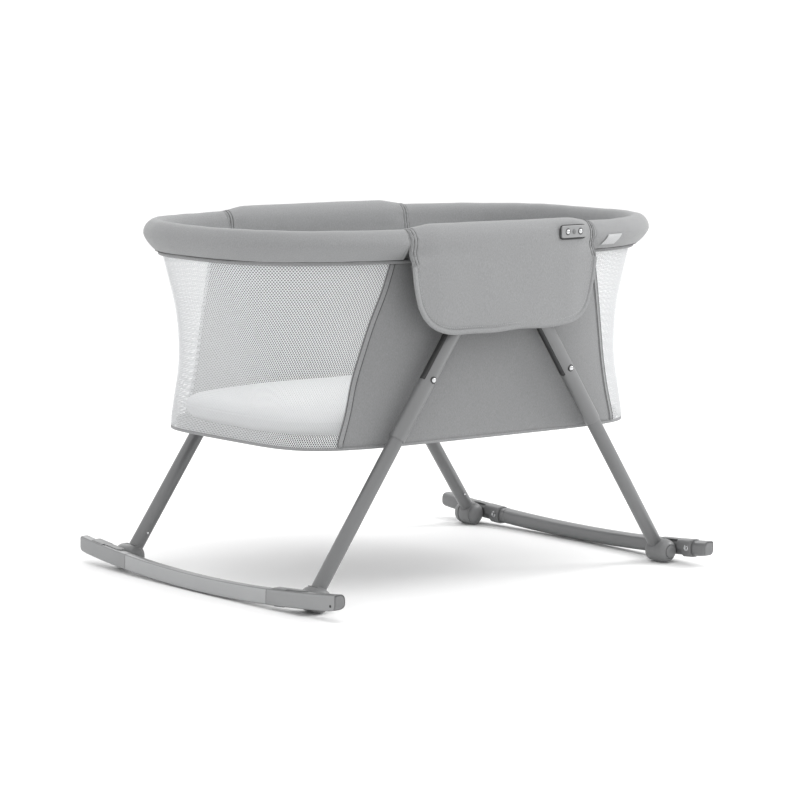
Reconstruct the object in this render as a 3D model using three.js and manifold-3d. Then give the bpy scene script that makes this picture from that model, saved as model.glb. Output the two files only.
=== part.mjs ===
import * as THREE from "three";
import { mergeVertices } from "three/addons/utils/BufferGeometryUtils.js";
import Module from "manifold-3d";

const wasm = await Module();
wasm.setup();

// Travel crib on a folding leg frame with curved rocker rails.
// Millimetres, +Z up, X along the crib's length, origin on the floor under the middle.
// The crib has two-fold rotational symmetry about Z.

// ---- driving dimensions ----
const GAP = 0.3; // clearance between neighbours that touch
const CREST_A = 439, CREST_B = 240, RIM_N = 3; // superellipse followed by the top rail tube
const RIM_TUBE_Z = 570, RIM_TUBE_R = 11;
const FLAP_HALF = 200; // seam between centre flap and padded rim cover
const WALL_T = 3;
const WALL_LEVELS = [ // z, half length, half width, exponent
  [254.3, 376.5, 220.5, 5.0], [300, 384, 217.5, 4.1], [345, 388, 216.2, 3.5],
  [391, 393.5, 216, 3.25], [440, 403.5, 216, 3.12], [490, 421, 216.2, 3.03], [537.2, 437, 217, 3.0],
];
const BASE_A = 376, BASE_B = 220.5, BASE_N = 5;
const BASE_Z = 242, BINDING_H = 12, BOARD_T = 7, MATTRESS_TOP = 297, MATTRESS_N = 4.3;
const LEG_Y = 238, APEX_Z = 562.4;
const LEG_TILT = (35.18 * Math.PI) / 180; // leg axis from the vertical
const LEG_LEN = 663, PIVOT_AT = 34;
const UPPER_R = 13.5, UPPER_BORE = 12.3, UPPER_END = 375;
const LOWER_R = 12, LOWER_BORE = 10.4, LOWER_START = 245;
const DOME_AT = 262, DOME_R = 4.2;
const PIN_R = 4, PIN_HOLE = 4.3;
const BALL_R = 20.5, BALL_HALF = 24, BALL_OUT = 5, DRUM_R = 20.1, DRUM_HALF = 12.8;
const ROCK_DEG = 35;
const RAIL_HALF = 332.5, RAIL_ARC_R = 2668, RAIL_U = 16.5, RAIL_N = 28.6;
const SLEEVE_NEAR = 176, SLEEVE_FAR = 195, SPIGOT = 30, SPIGOT_K = 0.7;
const BRACKET_LEN = 31;
const CAP_R = 11;

const SIN = Math.sin(LEG_TILT), COS = Math.cos(LEG_TILT);

// ---- materials ----
const mat = (hex, roughness, metalness = 0) =>
  new THREE.MeshStandardMaterial({ color: hex, roughness, metalness });
const M = {
  fabric: mat(0xa3a4a6, 0.95), mesh: mat(0xe4e6e8, 0.9), mattress: mat(0xf2f3f4, 0.95),
  tube: mat(0x7c7d80, 0.35, 0.4), lower: mat(0x76777a, 0.35, 0.4), rail: mat(0xafb0b2, 0.4, 0.3),
  sleeve: mat(0x96979a, 0.5), plastic: mat(0x85868a, 0.5), black: mat(0x2a2b2d, 0.6),
  steel: mat(0xc9cacc, 0.25, 0.9), board: mat(0x5d5e61, 0.9), binding: mat(0x8f9093, 0.9),
};

// ---- solids ----
function toSolid(geometry) {
  let g = geometry.clone();
  g.deleteAttribute("normal");
  g.deleteAttribute("uv");
  g = mergeVertices(g, 1e-4);
  return new wasm.Manifold(new wasm.Mesh({
    numProp: 3,
    vertProperties: new Float32Array(g.attributes.position.array),
    triVerts: new Uint32Array(g.index.array),
  }));
}
function toGeometry(solid) {
  const m = solid.getMesh(), g = new THREE.BufferGeometry();
  g.setAttribute("position", new THREE.BufferAttribute(new Float32Array(m.vertProperties), 3));
  g.setIndex(new THREE.BufferAttribute(new Uint32Array(m.triVerts), 1));
  g.computeVertexNormals();
  return g;
}
// Loft through rings of equal point count; closed=true joins the last ring to the first.
function loft(rings, closed = false) {
  const n = rings[0].length, pos = [], idx = [];
  rings.forEach((r) => r.forEach((p) => pos.push(p.x, p.y, p.z)));
  const m = rings.length, last = closed ? m : m - 1;
  for (let i = 0; i < last; i++)
    for (let j = 0; j < n; j++) {
      const a = i * n + j, b = i * n + ((j + 1) % n);
      const c = ((i + 1) % m) * n + j, d = ((i + 1) % m) * n + ((j + 1) % n);
      idx.push(a, b, d, a, d, c);
    }
  if (!closed) {
    for (const [k, flip] of [[0, true], [m - 1, false]]) {
      // flatten the ring onto its best axis pair for the end cap
      const r = rings[k], c = new THREE.Vector3();
      for (let j = 0; j < n; j++) {
        const p = r[j], q = r[(j + 1) % n];
        c.x += (p.y - q.y) * (p.z + q.z);
        c.y += (p.z - q.z) * (p.x + q.x);
        c.z += (p.x - q.x) * (p.y + q.y);
      }
      c.normalize();
      const e1 = new THREE.Vector3(...(Math.abs(c.x) < 0.9 ? [1, 0, 0] : [0, 1, 0])).cross(c).normalize();
      const e2 = c.clone().cross(e1);
      const flat = r.map((p) => new THREE.Vector2(p.dot(e1), p.dot(e2)));
      for (const [a, b, d] of THREE.ShapeUtils.triangulateShape(flat, []))
        flip ? idx.push(k * n + a, k * n + d, k * n + b) : idx.push(k * n + a, k * n + b, k * n + d);
    }
  }
  const g = new THREE.BufferGeometry();
  g.setAttribute("position", new THREE.Float32BufferAttribute(pos, 3));
  g.setIndex(idx);
  let s = new wasm.Manifold(new wasm.Mesh({
    numProp: 3, vertProperties: new Float32Array(pos), triVerts: new Uint32Array(idx),
  }));
  if (s.volume() < 0) {
    const f = [];
    for (let i = 0; i < idx.length; i += 3) f.push(idx[i], idx[i + 2], idx[i + 1]);
    s = new wasm.Manifold(new wasm.Mesh({
      numProp: 3, vertProperties: new Float32Array(pos), triVerts: new Uint32Array(f),
    }));
  }
  return s;
}
const V = (x, y, z) => new THREE.Vector3(x, y, z);
function cyl(r, h, seg, matrix, phase = 0) {
  const g = new THREE.CylinderGeometry(r, r, h, seg, 1, false, phase);
  g.applyMatrix4(matrix);
  return toSolid(g);
}
function box(w, d, h, matrix) {
  const g = new THREE.BoxGeometry(w, d, h);
  g.applyMatrix4(matrix);
  return toSolid(g);
}
// matrix from three axes and an origin
const frameOf = (ex, ey, ez, o) => new THREE.Matrix4().makeBasis(ex, ey, ez).setPosition(o);
const rotZ180 = (solid) => {
  const g = toGeometry(solid);
  g.applyMatrix4(new THREE.Matrix4().makeRotationZ(Math.PI));
  return toSolid(g);
};
const mirrorY = (solid) => {
  const m = solid.getMesh(), v = new Float32Array(m.vertProperties), t = new Uint32Array(m.triVerts);
  for (let i = 1; i < v.length; i += 3) v[i] = -v[i];
  for (let i = 0; i < t.length; i += 3) [t[i + 1], t[i + 2]] = [t[i + 2], t[i + 1]];
  return new wasm.Manifold(new wasm.Mesh({ numProp: 3, vertProperties: v, triVerts: t }));
};

const group = new THREE.Group();
const add = (name, solid, material) => {
  const mesh = new THREE.Mesh(toGeometry(solid), material);
  mesh.name = name;
  group.add(mesh);
  return solid;
};

// point of a superellipse at parameter t (radians, 0 = +X, quarter turn = +Y)
const sup = (a, b, n, t) => {
  const c = Math.cos(t), s = Math.sin(t);
  return [a * Math.sign(c) * Math.abs(c) ** (2 / n), b * Math.sign(s) * Math.abs(s) ** (2 / n)];
};
// parameter of the superellipse point with abscissa x on the +Y half
const supT = (a, n, x) => Math.acos(Math.sign(x) * Math.abs(x / a) ** (n / 2));
const supY = (a, b, n, x) => b * (1 - Math.abs(x / a) ** n) ** (1 / n);

// even steps along the outline between two parameters
function evenT(a, b, n, t0, t1, steps) {
  const N = 400, pts = [];
  let len = 0, prev = null;
  for (let i = 0; i <= N; i++) {
    const t = t0 + ((t1 - t0) * i) / N, p = sup(a, b, n, t);
    if (prev) len += Math.hypot(p[0] - prev[0], p[1] - prev[1]);
    pts.push([len, t]);
    prev = p;
  }
  const out = [];
  for (let k = 0; k <= steps; k++) {
    const L = (len * k) / steps;
    let i = pts.findIndex((q) => q[0] >= L - 1e-9);
    if (i <= 0) { out.push(t0); continue; }
    const [l0, ta] = pts[i - 1], [l1, tb] = pts[i];
    out.push(ta + ((tb - ta) * (L - l0)) / Math.max(l1 - l0, 1e-9));
  }
  return out;
}

// ---- top rail tube: one closed oval ring ----
{
  const rings = evenT(CREST_A, CREST_B, RIM_N, 0.0001, 2 * Math.PI + 0.0001, 44).slice(0, -1).map((t) => {
    const [x, y] = sup(CREST_A, CREST_B, RIM_N, t);
    const [x2, y2] = sup(CREST_A, CREST_B, RIM_N, t + 0.004), [x1, y1] = sup(CREST_A, CREST_B, RIM_N, t - 0.004);
    const tan = V(x2 - x1, y2 - y1, 0).normalize(), out = V(tan.y, -tan.x, 0), ring = [];
    for (let k = 0; k < 8; k++) {
      const w = (k / 8) * 2 * Math.PI;
      ring.push(V(x, y, RIM_TUBE_Z).addScaledVector(out, RIM_TUBE_R * Math.cos(w)).add(V(0, 0, RIM_TUBE_R * Math.sin(w))));
    }
    return ring;
  });
  add("rim_tube", loft(rings, true), M.tube);
}

// ---- padded rim covers round the two ends ----
const COVER_SECTION = [
  [441, 229, 537.5], [451, 244, 549], [457, 256.5, 566], [454, 253.5, 578], [447, 247, 585.5],
  [439, 240, 588], [430, 231, 585], [424, 224.5, 575], [423, 222, 560], [427, 219.5, 546], [431, 218, 537.5],
];
function coverEnd() { // left end, from the near seam round to the far seam
  const make = (section, x) => {
    const t0 = supT(CREST_A, RIM_N, -x), t1 = 2 * Math.PI - t0;
    return evenT(CREST_A, CREST_B, RIM_N, t0, t1, 20).map((t, i, all) => section(t, i === 0 || i === all.length - 1, x));
  };
  const body = make((t) => COVER_SECTION.map(([a, b, z]) => {
    const [x, y] = sup(a, b, RIM_N, t);
    return V(x, y, z);
  }), FLAP_HALF + GAP);
  const bore = make((t) => {
    const [x, y] = sup(CREST_A, CREST_B, RIM_N, t);
    const [x2, y2] = sup(CREST_A, CREST_B, RIM_N, t + 0.004), [x1, y1] = sup(CREST_A, CREST_B, RIM_N, t - 0.004);
    const tan = V(x2 - x1, y2 - y1, 0).normalize(), out = V(tan.y, -tan.x, 0), ring = [];
    for (let k = 0; k < 8; k++) {
      const w = ((k + 0.5) / 8) * 2 * Math.PI, r = RIM_TUBE_R + 3.1;
      ring.push(V(x, y, RIM_TUBE_Z).addScaledVector(out, r * Math.cos(w)).add(V(0, 0, r * Math.sin(w))));
    }
    return ring;
  }, FLAP_HALF - 14);
  return loft(body).subtract(loft(bore));
}
{
  // trim both seam ends square so that they meet the flaps at the seam plane
  const trim = box(600, 700, 200, new THREE.Matrix4().setPosition(-FLAP_HALF - GAP - 300, 0, 560));
  const left = coverEnd().intersect(trim);
  add("rim_cover_left", left, M.fabric);
  add("rim_cover_right", rotZ180(left), M.fabric);
}

// ---- lock plates (on the flap's outer face, above the legs) ----
const LOCK_X = 148, LOCK_Z = 568, LOCK_W = 58, LOCK_H = 20, LOCK_T = 3;
const lockSlope = Math.atan2(supY(461, 262, 3, 160) - supY(461, 262, 3, 136), 24);
const lockFrame = (off) => {
  const ex = V(Math.cos(lockSlope), -Math.sin(lockSlope), 0), ey = V(Math.sin(lockSlope), Math.cos(lockSlope), 0).negate();
  return frameOf(ex, ey.clone(), ex.clone().cross(ey), V(LOCK_X, -supY(461, 262, 3, LOCK_X), LOCK_Z).addScaledVector(ey, off));
};
const lockPlate = (grow, t, off) => {
  const s = new THREE.Shape(), w = LOCK_W / 2 + grow, h = LOCK_H / 2 + grow, r = 4;
  s.moveTo(-w + r, -h); s.lineTo(w - r, -h); s.quadraticCurveTo(w, -h, w, -h + r); s.lineTo(w, h - r);
  s.quadraticCurveTo(w, h, w - r, h); s.lineTo(-w + r, h); s.quadraticCurveTo(-w, h, -w, h - r);
  s.lineTo(-w, -h + r); s.quadraticCurveTo(-w, -h, -w + r, -h);
  const g = new THREE.ExtrudeGeometry(s, { depth: t, bevelEnabled: false, curveSegments: 2 });
  g.rotateX(-Math.PI / 2); // depth now along +Y, width X, height -Z
  g.applyMatrix4(lockFrame(off));
  return toSolid(g);
};
const alongY = (r, h, seg, x, y, z) => cyl(r, h, seg, new THREE.Matrix4().setPosition(x, y, z), Math.PI / seg);

// ---- centre flaps over the hubs ----
const FLAP_BOTTOM = [[0, 420], [70, 420.5], [125, 423.5], [152, 430.5], [172, 443], [184, 460], [193, 484], [200, 512]];
function flap() {
  const xs = [...FLAP_BOTTOM.slice(1).reverse().map(([x, z]) => [-x, z]), ...FLAP_BOTTOM];
  const rings = xs.map(([x, zb]) => {
    const s = supY(CREST_A, 1, RIM_N, Math.min(Math.abs(x), FLAP_HALF));
    const hang = 260.5 - 4 * (x / 200) ** 2;
    const sec = [
      [hang, zb], [hang, 537], [262 * s - 0.4, 552], [262 * s, 568], [259 * s, 581], [252 * s, 591], [241 * s, 596],
      [229 * s, 590], [219.5 * s, 579], [215.8 * s, 564], [215.5 * s, 537.5],
      [218.4 * s, 537.5], [218.6 * s, 564], [222.5 * s, 577], [231 * s, 586.5], [241 * s, 592], [250 * s, 587.5],
      [256 * s, 578], [258.9 * s, 567], [258.7 * s, 552], [hang - 3, 537], [hang - 3, zb],
    ];
    return sec.map(([y, z]) => V(x, -y, z));
  });
  return loft(rings);
}
{
  const f = flap().subtract(lockPlate(GAP, LOCK_T + 6, -1.2)).subtract(
    cyl(5, 30, 10, lockFrame(-7.2)));
  add("near_flap", f, M.fabric);
  add("far_flap", rotZ180(f), M.fabric);
  const hole = cyl(4.5, 30, 12, lockFrame(0));
  const plate = lockPlate(0, LOCK_T, -1).subtract(hole);
  add("near_lock_plate", plate, M.plastic);
  add("far_lock_plate", rotZ180(plate), M.plastic);
  // domed push button in the middle of the plate
  const dome = new THREE.LatheGeometry([[0, -1], [4.2, -1], [4.2, 2.4], [3, 3.9], [0, 4.4]].map((p) => new THREE.Vector2(...p)), 10);
  dome.applyMatrix4(lockFrame(0));
  const b = toSolid(dome);
  add("near_lock_button", b, M.plastic);
  add("far_lock_button", rotZ180(b), M.plastic);
}

// ---- crib walls ----
const lerpLevel = (z) => {
  const L = WALL_LEVELS;
  let i = 0;
  while (i < L.length - 2 && z > L[i + 1][0]) i++;
  const k = (z - L[i][0]) / (L[i + 1][0] - L[i][0]);
  return L[i].map((v, j) => v + (L[i + 1][j] - v) * k);
};
// abscissa of the border between a solid side panel and the see-through end, on the near side
const BORDER_L = [[254.3, -302], [300, -284], [345, -270.5], [391, -255], [440, -238], [490, -217.5], [537.2, -203]];
const BORDER_R = [[254.3, 290], [300, 283], [345, 279], [391, 272.5], [440, 263], [490, 251], [537.2, 238]];
function wallPiece(tFrom, tTo, steps) {
  // tFrom(level), tTo(level): parameters; ring runs over the outer face then back over the inner face
  const rings = WALL_LEVELS.map((lv, i) => {
    const [z, a, b, n] = lv, t0 = tFrom(lv, i), t1 = tTo(lv, i), ts = evenT(a, b, n, t0, t1, steps);
    const outer = ts.map((t) => { const [x, y] = sup(a, b, n, t); return V(x, y, z); });
    const inner = ts.map((t) => { const [x, y] = sup(a - WALL_T, b - WALL_T, n, t); return V(x, y, z); }).reverse();
    return [...outer, ...inner];
  });
  return loft(rings);
}
{
  const nearT = (lv, x) => 2 * Math.PI - supT(lv[1], lv[3], x); // parameter on the -Y half
  const shrink = 1.2;
  // near panel runs from BORDER_L to BORDER_R on the -Y side; the far panel is its half-turn copy
  const panel = wallPiece((lv, i) => nearT(lv, BORDER_L[i][1] + shrink), (lv, i) => nearT(lv, BORDER_R[i][1] - shrink), 9);
  add("near_side_panel", panel, M.fabric);
  add("far_side_panel", rotZ180(panel), M.fabric);
  // left end: from the far panel's left border (-BORDER_R) round to the near panel's left border
  const end = wallPiece((lv, i) => supT(lv[1], lv[3], -BORDER_R[i][1] - shrink), (lv, i) => nearT(lv, BORDER_L[i][1] - shrink), 16);
  add("mesh_wall_left", end, M.mesh);
  add("mesh_wall_right", rotZ180(end), M.mesh);
}

// ---- base: binding band, board, mattress ----
const slab = (a, b, n, z0, z1, steps = 40) => {
  const ts = evenT(a, b, n, 0.0001, 2 * Math.PI + 0.0001, steps).slice(0, -1);
  return loft([z0, z1].map((z) => ts.map((t) => { const [x, y] = sup(a, b, n, t); return V(x, y, z); })));
};
add("base_binding", slab(BASE_A, BASE_B, BASE_N, BASE_Z, BASE_Z + BINDING_H).subtract(slab(BASE_A - 7, BASE_B - 7, BASE_N, BASE_Z - 5, BASE_Z + 30)), M.binding);
add("base_board", slab(BASE_A - 7.4, BASE_B - 7.4, BASE_N, BASE_Z + 1, BASE_Z + 1 + BOARD_T), M.board);
{
  const m = [[BASE_Z + 8.4, 10], [MATTRESS_TOP - 6, 10], [MATTRESS_TOP, 16]];
  const rings = m.map(([z, inset]) => evenT(BASE_A, BASE_B, MATTRESS_N, 0.0001, 2 * Math.PI + 0.0001, 36).slice(0, -1).map((t) => {
    const [x, y] = sup(BASE_A - inset, BASE_B - inset, MATTRESS_N, t);
    return V(x, y, z);
  }));
  add("mattress", loft(rings), M.mattress);
}

// ---- hub plates and pivot pins, under each flap ----
const pivotX = PIVOT_AT * SIN, pivotZ = APEX_Z - PIVOT_AT * COS;
const plateShape = (top) => {
  const s = new THREE.Shape([[-36, 514], [36, 514], [44, 524], [48, 545], [40, top], [-40, top], [-48, 545], [-44, 524]].map((p) => new THREE.Vector2(...p)));
  for (const sx of [-1, 1]) {
    const h = new THREE.Path();
    h.absarc(sx * pivotX, pivotZ, PIN_HOLE, 0, 2 * Math.PI, true);
    s.holes.push(h);
  }
  return s;
};
const plateSolid = (top, y0, y1) => {
  const g = new THREE.ExtrudeGeometry(plateShape(top), { depth: y1 - y0, bevelEnabled: false, curveSegments: 8 });
  g.rotateX(Math.PI / 2); // shape in XZ, depth along -Y
  g.translate(0, y1, 0);
  return toSolid(g);
};
{
  const outer = plateSolid(572, -255.6, -252.6), inner = plateSolid(562, -222.6, -219.4);
  add("near_hub_outer_plate", outer, M.black);
  add("near_hub_inner_plate", inner, M.black);
  add("far_hub_outer_plate", rotZ180(outer), M.black);
  add("far_hub_inner_plate", rotZ180(inner), M.black);
}

// ---- one leg: apex frame with u down the leg, n outward-up, v along Y ----
// side = -1 for the left leg, +1 for the right; yc = centre plane
function legFrame(side, yc) {
  const u = V(side * SIN, 0, -COS), n = V(side * COS, 0, SIN), v = V(0, 1, 0);
  return { u, n, v, at: (du, dn, dy = 0) => V(0, yc, APEX_Z).addScaledVector(u, du).addScaledVector(n, dn).add(V(0, dy, 0)) };
}
// cylinder along u from d0 to d1
const alongU = (L, r, d0, d1, seg) => {
  const ex = L.n, ez = new THREE.Vector3().crossVectors(ex, L.u);
  return cyl(r, d1 - d0, seg, frameOf(ex, L.u, ez, L.at((d0 + d1) / 2, 0)), Math.PI / seg);
};
const boxUN = (L, du, dn, dy, cu, cn, cy) => {
  const ez = new THREE.Vector3().crossVectors(L.n, L.u);
  return box(dn, du, dy, frameOf(L.n, L.u, ez, L.at(cu, cn, cy)));
};
const ballAt = (side, yc) => V(side * LEG_LEN * SIN, yc, APEX_Z - LEG_LEN * COS);

// rail section in (u, n): flat outer face, rounded inner face
const RAIL_SECTION = [[-13, 7], [-11.5, 10.2], [-9, 11], [9, 11], [11.5, 10.2], [13, 7], [13, -2], [11.4, -6.8], [7.6, -10], [2.6, -11], [-2.6, -11], [-7.6, -10], [-11.4, -6.8], [-13, -2]];
function railLoft(side, y0, y1, steps, k = 1, grow = 0) {
  const u = V(side * SIN, 0, -COS), n = V(side * COS, 0, SIN), b = ballAt(side, 0), rings = [];
  for (let i = 0; i <= steps; i++) {
    const y = y0 + ((y1 - y0) * i) / steps;
    const c = b.clone().addScaledVector(u, RAIL_U + (LEG_Y ** 2 - y ** 2) / (2 * RAIL_ARC_R)).addScaledVector(n, RAIL_N);
    c.y = y;
    rings.push(RAIL_SECTION.map(([a, e]) => {
      const f = k + grow / Math.hypot(a, e);
      return c.clone().addScaledVector(u, a * f).addScaledVector(n, e * f);
    }));
  }
  return loft(rings);
}

for (const side of [-1, 1]) {
  const S = side < 0 ? "left" : "right";
  for (const yc of [-LEG_Y, LEG_Y]) {
    const Y = yc < 0 ? "near" : "far", out = Math.sign(yc), name = Y + "_" + S + "_";
    const L = legFrame(side, yc);
    const pivot = L.at(PIVOT_AT, 0);

    // upper tube: round eye at the pivot, open bore for the lower tube
    let upper = alongU(L, UPPER_R, PIVOT_AT, UPPER_END, 16).add(alongY(UPPER_R, 2 * UPPER_R - 3, 16, pivot.x, pivot.y, pivot.z));
    upper = upper.subtract(alongU(L, UPPER_BORE, PIVOT_AT + 30, UPPER_END + 5, 16));
    upper = upper.subtract(alongY(PIN_HOLE, 60, 8, pivot.x, pivot.y, pivot.z));
    const domeC = L.at(DOME_AT, 0);
    upper = upper.subtract(alongY(DOME_R + 0.7, 20, 8, domeC.x, domeC.y + out * 12, domeC.z));
    add(name + "upper_tube", upper, M.tube);

    // pivot pin through both hub plates
    add(name + "hub_pin", alongY(PIN_R - 0.1, 37, 8, pivot.x, out * 237.6, pivot.z), M.steel);

    // domed lock button
    const dome = new THREE.LatheGeometry([[0, 0], [DOME_R, 0], [DOME_R, 6], [DOME_R * 0.72, 7.6], [0, 8.2]].map((p) => new THREE.Vector2(...p)), 8);
    if (out < 0) dome.rotateX(Math.PI);
    dome.translate(domeC.x, domeC.y + out * 8.2, domeC.z);
    add(name + "leg_button", toSolid(dome), M.steel);

    // directions of the rail side of the housing as it turns on the leg, from standing to rocking
    const ball = ballAt(side, yc), turn = (v, deg) => v.clone().applyAxisAngle(V(0, 1, 0), ((side < 0 ? -1 : 1) * deg * Math.PI) / 180);
    const seg = 18, R = BALL_R / Math.cos(Math.PI / seg), RD = DRUM_R / Math.cos(Math.PI / seg);

    // lower tube with a drum knuckle between the cheeks of the housing
    let lower = alongU(L, LOWER_R, LOWER_START, LEG_LEN - 4, 16).subtract(alongU(L, LOWER_BORE, LOWER_START - 5, LEG_LEN - 40, 10));
    lower = lower.add(alongY(RD, 2 * DRUM_HALF, seg, ball.x, ball.y, ball.z));
    for (const deg of [0, ROCK_DEG / 3, (2 * ROCK_DEG) / 3, ROCK_DEG]) {
      const n = turn(L.n, deg), u = turn(L.u, deg), c = ball.clone().addScaledVector(n, 10.2 + 10).addScaledVector(u, 2.8);
      lower = lower.subtract(box(20, 37, 40, frameOf(n, u, new THREE.Vector3().crossVectors(n, u), c)));
    }
    lower = lower.subtract(alongY(PIN_HOLE, 60, 8, ball.x, ball.y, ball.z));
    lower = lower.subtract(boxUN(L, 60, 2 * DOME_R + 2.4, 20, LOWER_START + 1, 0, out * 12));
    add(name + "lower_tube", lower, M.lower);

    // ball housing: two cheeks joined by a web on the rail side, with a recess for the cap
    const yo = ball.y + out * BALL_OUT;
    let hub = new THREE.LatheGeometry([[0, -BALL_HALF], [15.5, -BALL_HALF], [18.6, -22.3], [R, -18], [R, 18], [18.6, 22.3], [15.5, BALL_HALF], [0, BALL_HALF]].map((p) => new THREE.Vector2(...p)), seg, Math.PI / seg);
    hub.translate(ball.x, yo, ball.z);
    hub = toSolid(hub);
    let gap = alongY(30, 2 * DRUM_HALF + 0.8, 12, ball.x, ball.y, ball.z);
    gap = gap.subtract(box(14, 30, 60, frameOf(L.n, L.u, new THREE.Vector3().crossVectors(L.n, L.u), ball.clone().addScaledVector(L.n, 10.8 + 7).addScaledVector(L.u, 0.5))));
    hub = hub.subtract(gap);
    hub = hub.subtract(alongY(PIN_HOLE, 40, 8, ball.x, ball.y, ball.z));
    hub = hub.subtract(alongY(CAP_R + 0.5, 12, 14, ball.x, yo + out * (BALL_HALF - 7 + 6), ball.z));
    hub = hub.subtract(railLoft(side, yc - 40, yc + 40, 3, 1, 0.5));
    add(name + "ball_housing", hub, M.plastic);
    add(name + "ball_cap", (() => {
      const c = new THREE.LatheGeometry([[0, 0], [CAP_R, 0], [CAP_R, 3.4], [CAP_R - 1.2, 4.4], [0, 5]].map((p) => new THREE.Vector2(...p)), 14);
      if (out < 0) c.rotateX(Math.PI);
      c.translate(ball.x, yo + out * (BALL_HALF - 3.6), ball.z);
      return toSolid(c);
    })(), M.plastic);
    add(name + "ball_pin", alongY(PIN_R - 0.1, 38, 8, ball.x, ball.y + out * 0.5, ball.z), M.steel);

    // saddle bracket along the rail: towards +Y on the left rail, towards -Y on the right rail
    const dirY = side < 0 ? 1 : -1, ys = yc + out * BALL_OUT + dirY * (BALL_HALF + GAP), ye = ys + dirY * BRACKET_LEN;
    const [ya, yb] = ys < ye ? [ys, ye] : [ye, ys];
    const b0 = ballAt(side, 0), rings = [];
    for (let i = 0; i <= 2; i++) {
      const y = ya + ((yb - ya) * i) / 2, su = RAIL_U + (LEG_Y ** 2 - y ** 2) / (2 * RAIL_ARC_R);
      rings.push([[-16, -8], [-13, -12], [-6, -13.2], [6, -13.2], [12.6, -11.6], [15, -8], [15, 5], [-16, 7]].map(([a, e]) => {
        const q = b0.clone().addScaledVector(L.u, su + a).addScaledVector(L.n, RAIL_N + e);
        q.y = y;
        return q;
      }));
    }
    add(name + "rail_bracket", loft(rings).subtract(railLoft(side, ya - 10, yb + 10, 3, 1, 0.4)), M.plastic);
  }

  // rocker rail: bright middle with spigots, darker end sleeves
  const yA = side < 0 ? -SLEEVE_NEAR : -SLEEVE_FAR, yB = side < 0 ? SLEEVE_FAR : SLEEVE_NEAR;
  const spig = railLoft(side, yA - SPIGOT, yB + SPIGOT, 9, SPIGOT_K);
  add(S + "_rail", railLoft(side, yA, yB, 9).add(spig), M.rail);
  const socket = railLoft(side, yA - SPIGOT - 1, yB + SPIGOT + 1, 9, SPIGOT_K, 0.6);
  for (const [Y, a, b] of [["near", -RAIL_HALF, yA - GAP], ["far", yB + GAP, RAIL_HALF]]) {
    add(Y + "_" + S + "_rail_sleeve", railLoft(side, a, b, 4).subtract(socket), M.sleeve);
  }
}

export default group;
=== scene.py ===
import math
import bpy, bmesh
import numpy as np
from mathutils import Matrix, Vector, noise

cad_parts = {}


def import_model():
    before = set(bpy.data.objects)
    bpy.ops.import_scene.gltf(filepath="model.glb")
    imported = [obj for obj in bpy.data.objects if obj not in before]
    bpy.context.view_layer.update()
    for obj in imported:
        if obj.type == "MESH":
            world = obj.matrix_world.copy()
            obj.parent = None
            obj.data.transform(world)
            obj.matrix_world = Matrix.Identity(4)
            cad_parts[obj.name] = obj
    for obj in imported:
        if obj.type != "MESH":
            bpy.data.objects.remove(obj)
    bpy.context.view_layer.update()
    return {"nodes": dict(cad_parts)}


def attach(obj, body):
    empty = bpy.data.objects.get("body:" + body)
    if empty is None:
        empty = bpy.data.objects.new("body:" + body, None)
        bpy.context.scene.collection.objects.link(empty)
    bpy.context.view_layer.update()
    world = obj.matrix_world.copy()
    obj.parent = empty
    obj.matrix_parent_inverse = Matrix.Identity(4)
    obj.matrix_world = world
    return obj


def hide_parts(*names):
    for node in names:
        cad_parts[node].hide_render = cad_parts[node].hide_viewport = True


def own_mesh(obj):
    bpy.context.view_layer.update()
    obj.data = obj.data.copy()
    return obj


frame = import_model()
mm = 0.001

# ------------------------------------------------------------------ camera, floor and light
def camera():
    az, el, roll = math.radians(-41.176), math.radians(7.218), math.radians(0.894)
    back = Vector((math.sin(az) * math.cos(el), -math.cos(az) * math.cos(el), math.sin(el)))
    loc = Vector((-0.001, 0.0, 0.2795)) + back * 5.403
    right = (-back).cross(Vector((0, 0, 1))).normalized()
    up = right.cross(-back)
    r2 = right * math.cos(roll) + up * math.sin(roll)
    u2 = -right * math.sin(roll) + up * math.cos(roll)
    cam = bpy.data.cameras.new("camera")
    cam.sensor_width, cam.lens = 36, 145.3
    cam.clip_end = 400
    ob = bpy.data.objects.new("camera", cam)
    bpy.context.scene.collection.objects.link(ob)
    ob.matrix_world = Matrix(((r2.x, u2.x, back.x, loc.x), (r2.y, u2.y, back.y, loc.y), (r2.z, u2.z, back.z, loc.z), (0, 0, 0, 1)))
    bpy.context.scene.camera = ob

camera()

def area(name, loc, target, size, energy, color=(1, 1, 1)):
    d = bpy.data.lights.new(name, "AREA")
    d.shape, d.size, d.energy, d.color = "SQUARE", size, energy, color
    ob = bpy.data.objects.new(name, d)
    bpy.context.scene.collection.objects.link(ob)
    ob.location = loc
    ob.rotation_euler = (Vector(target) - Vector(loc)).to_track_quat("-Z", "Y").to_euler()

bpy.context.scene.view_settings.view_transform = "Standard"
area("key", (3.3, -1.5, 2.7), (0, 0, 0.3), 1.6, 74)
area("top", (-0.4, -0.4, 3.6), (0, 0, 0.3), 2.4, 26)
area("back", (1.0, 3.2, 2.2), (0, 0, 0.4), 2.0, 22)
world = bpy.data.worlds.new("world")
bpy.context.scene.world = world
world.use_nodes = True
world.node_tree.nodes["Background"].inputs["Color"].default_value = (1, 1, 1, 1)
world.node_tree.nodes["Background"].inputs["Strength"].default_value = 1.12

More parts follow.
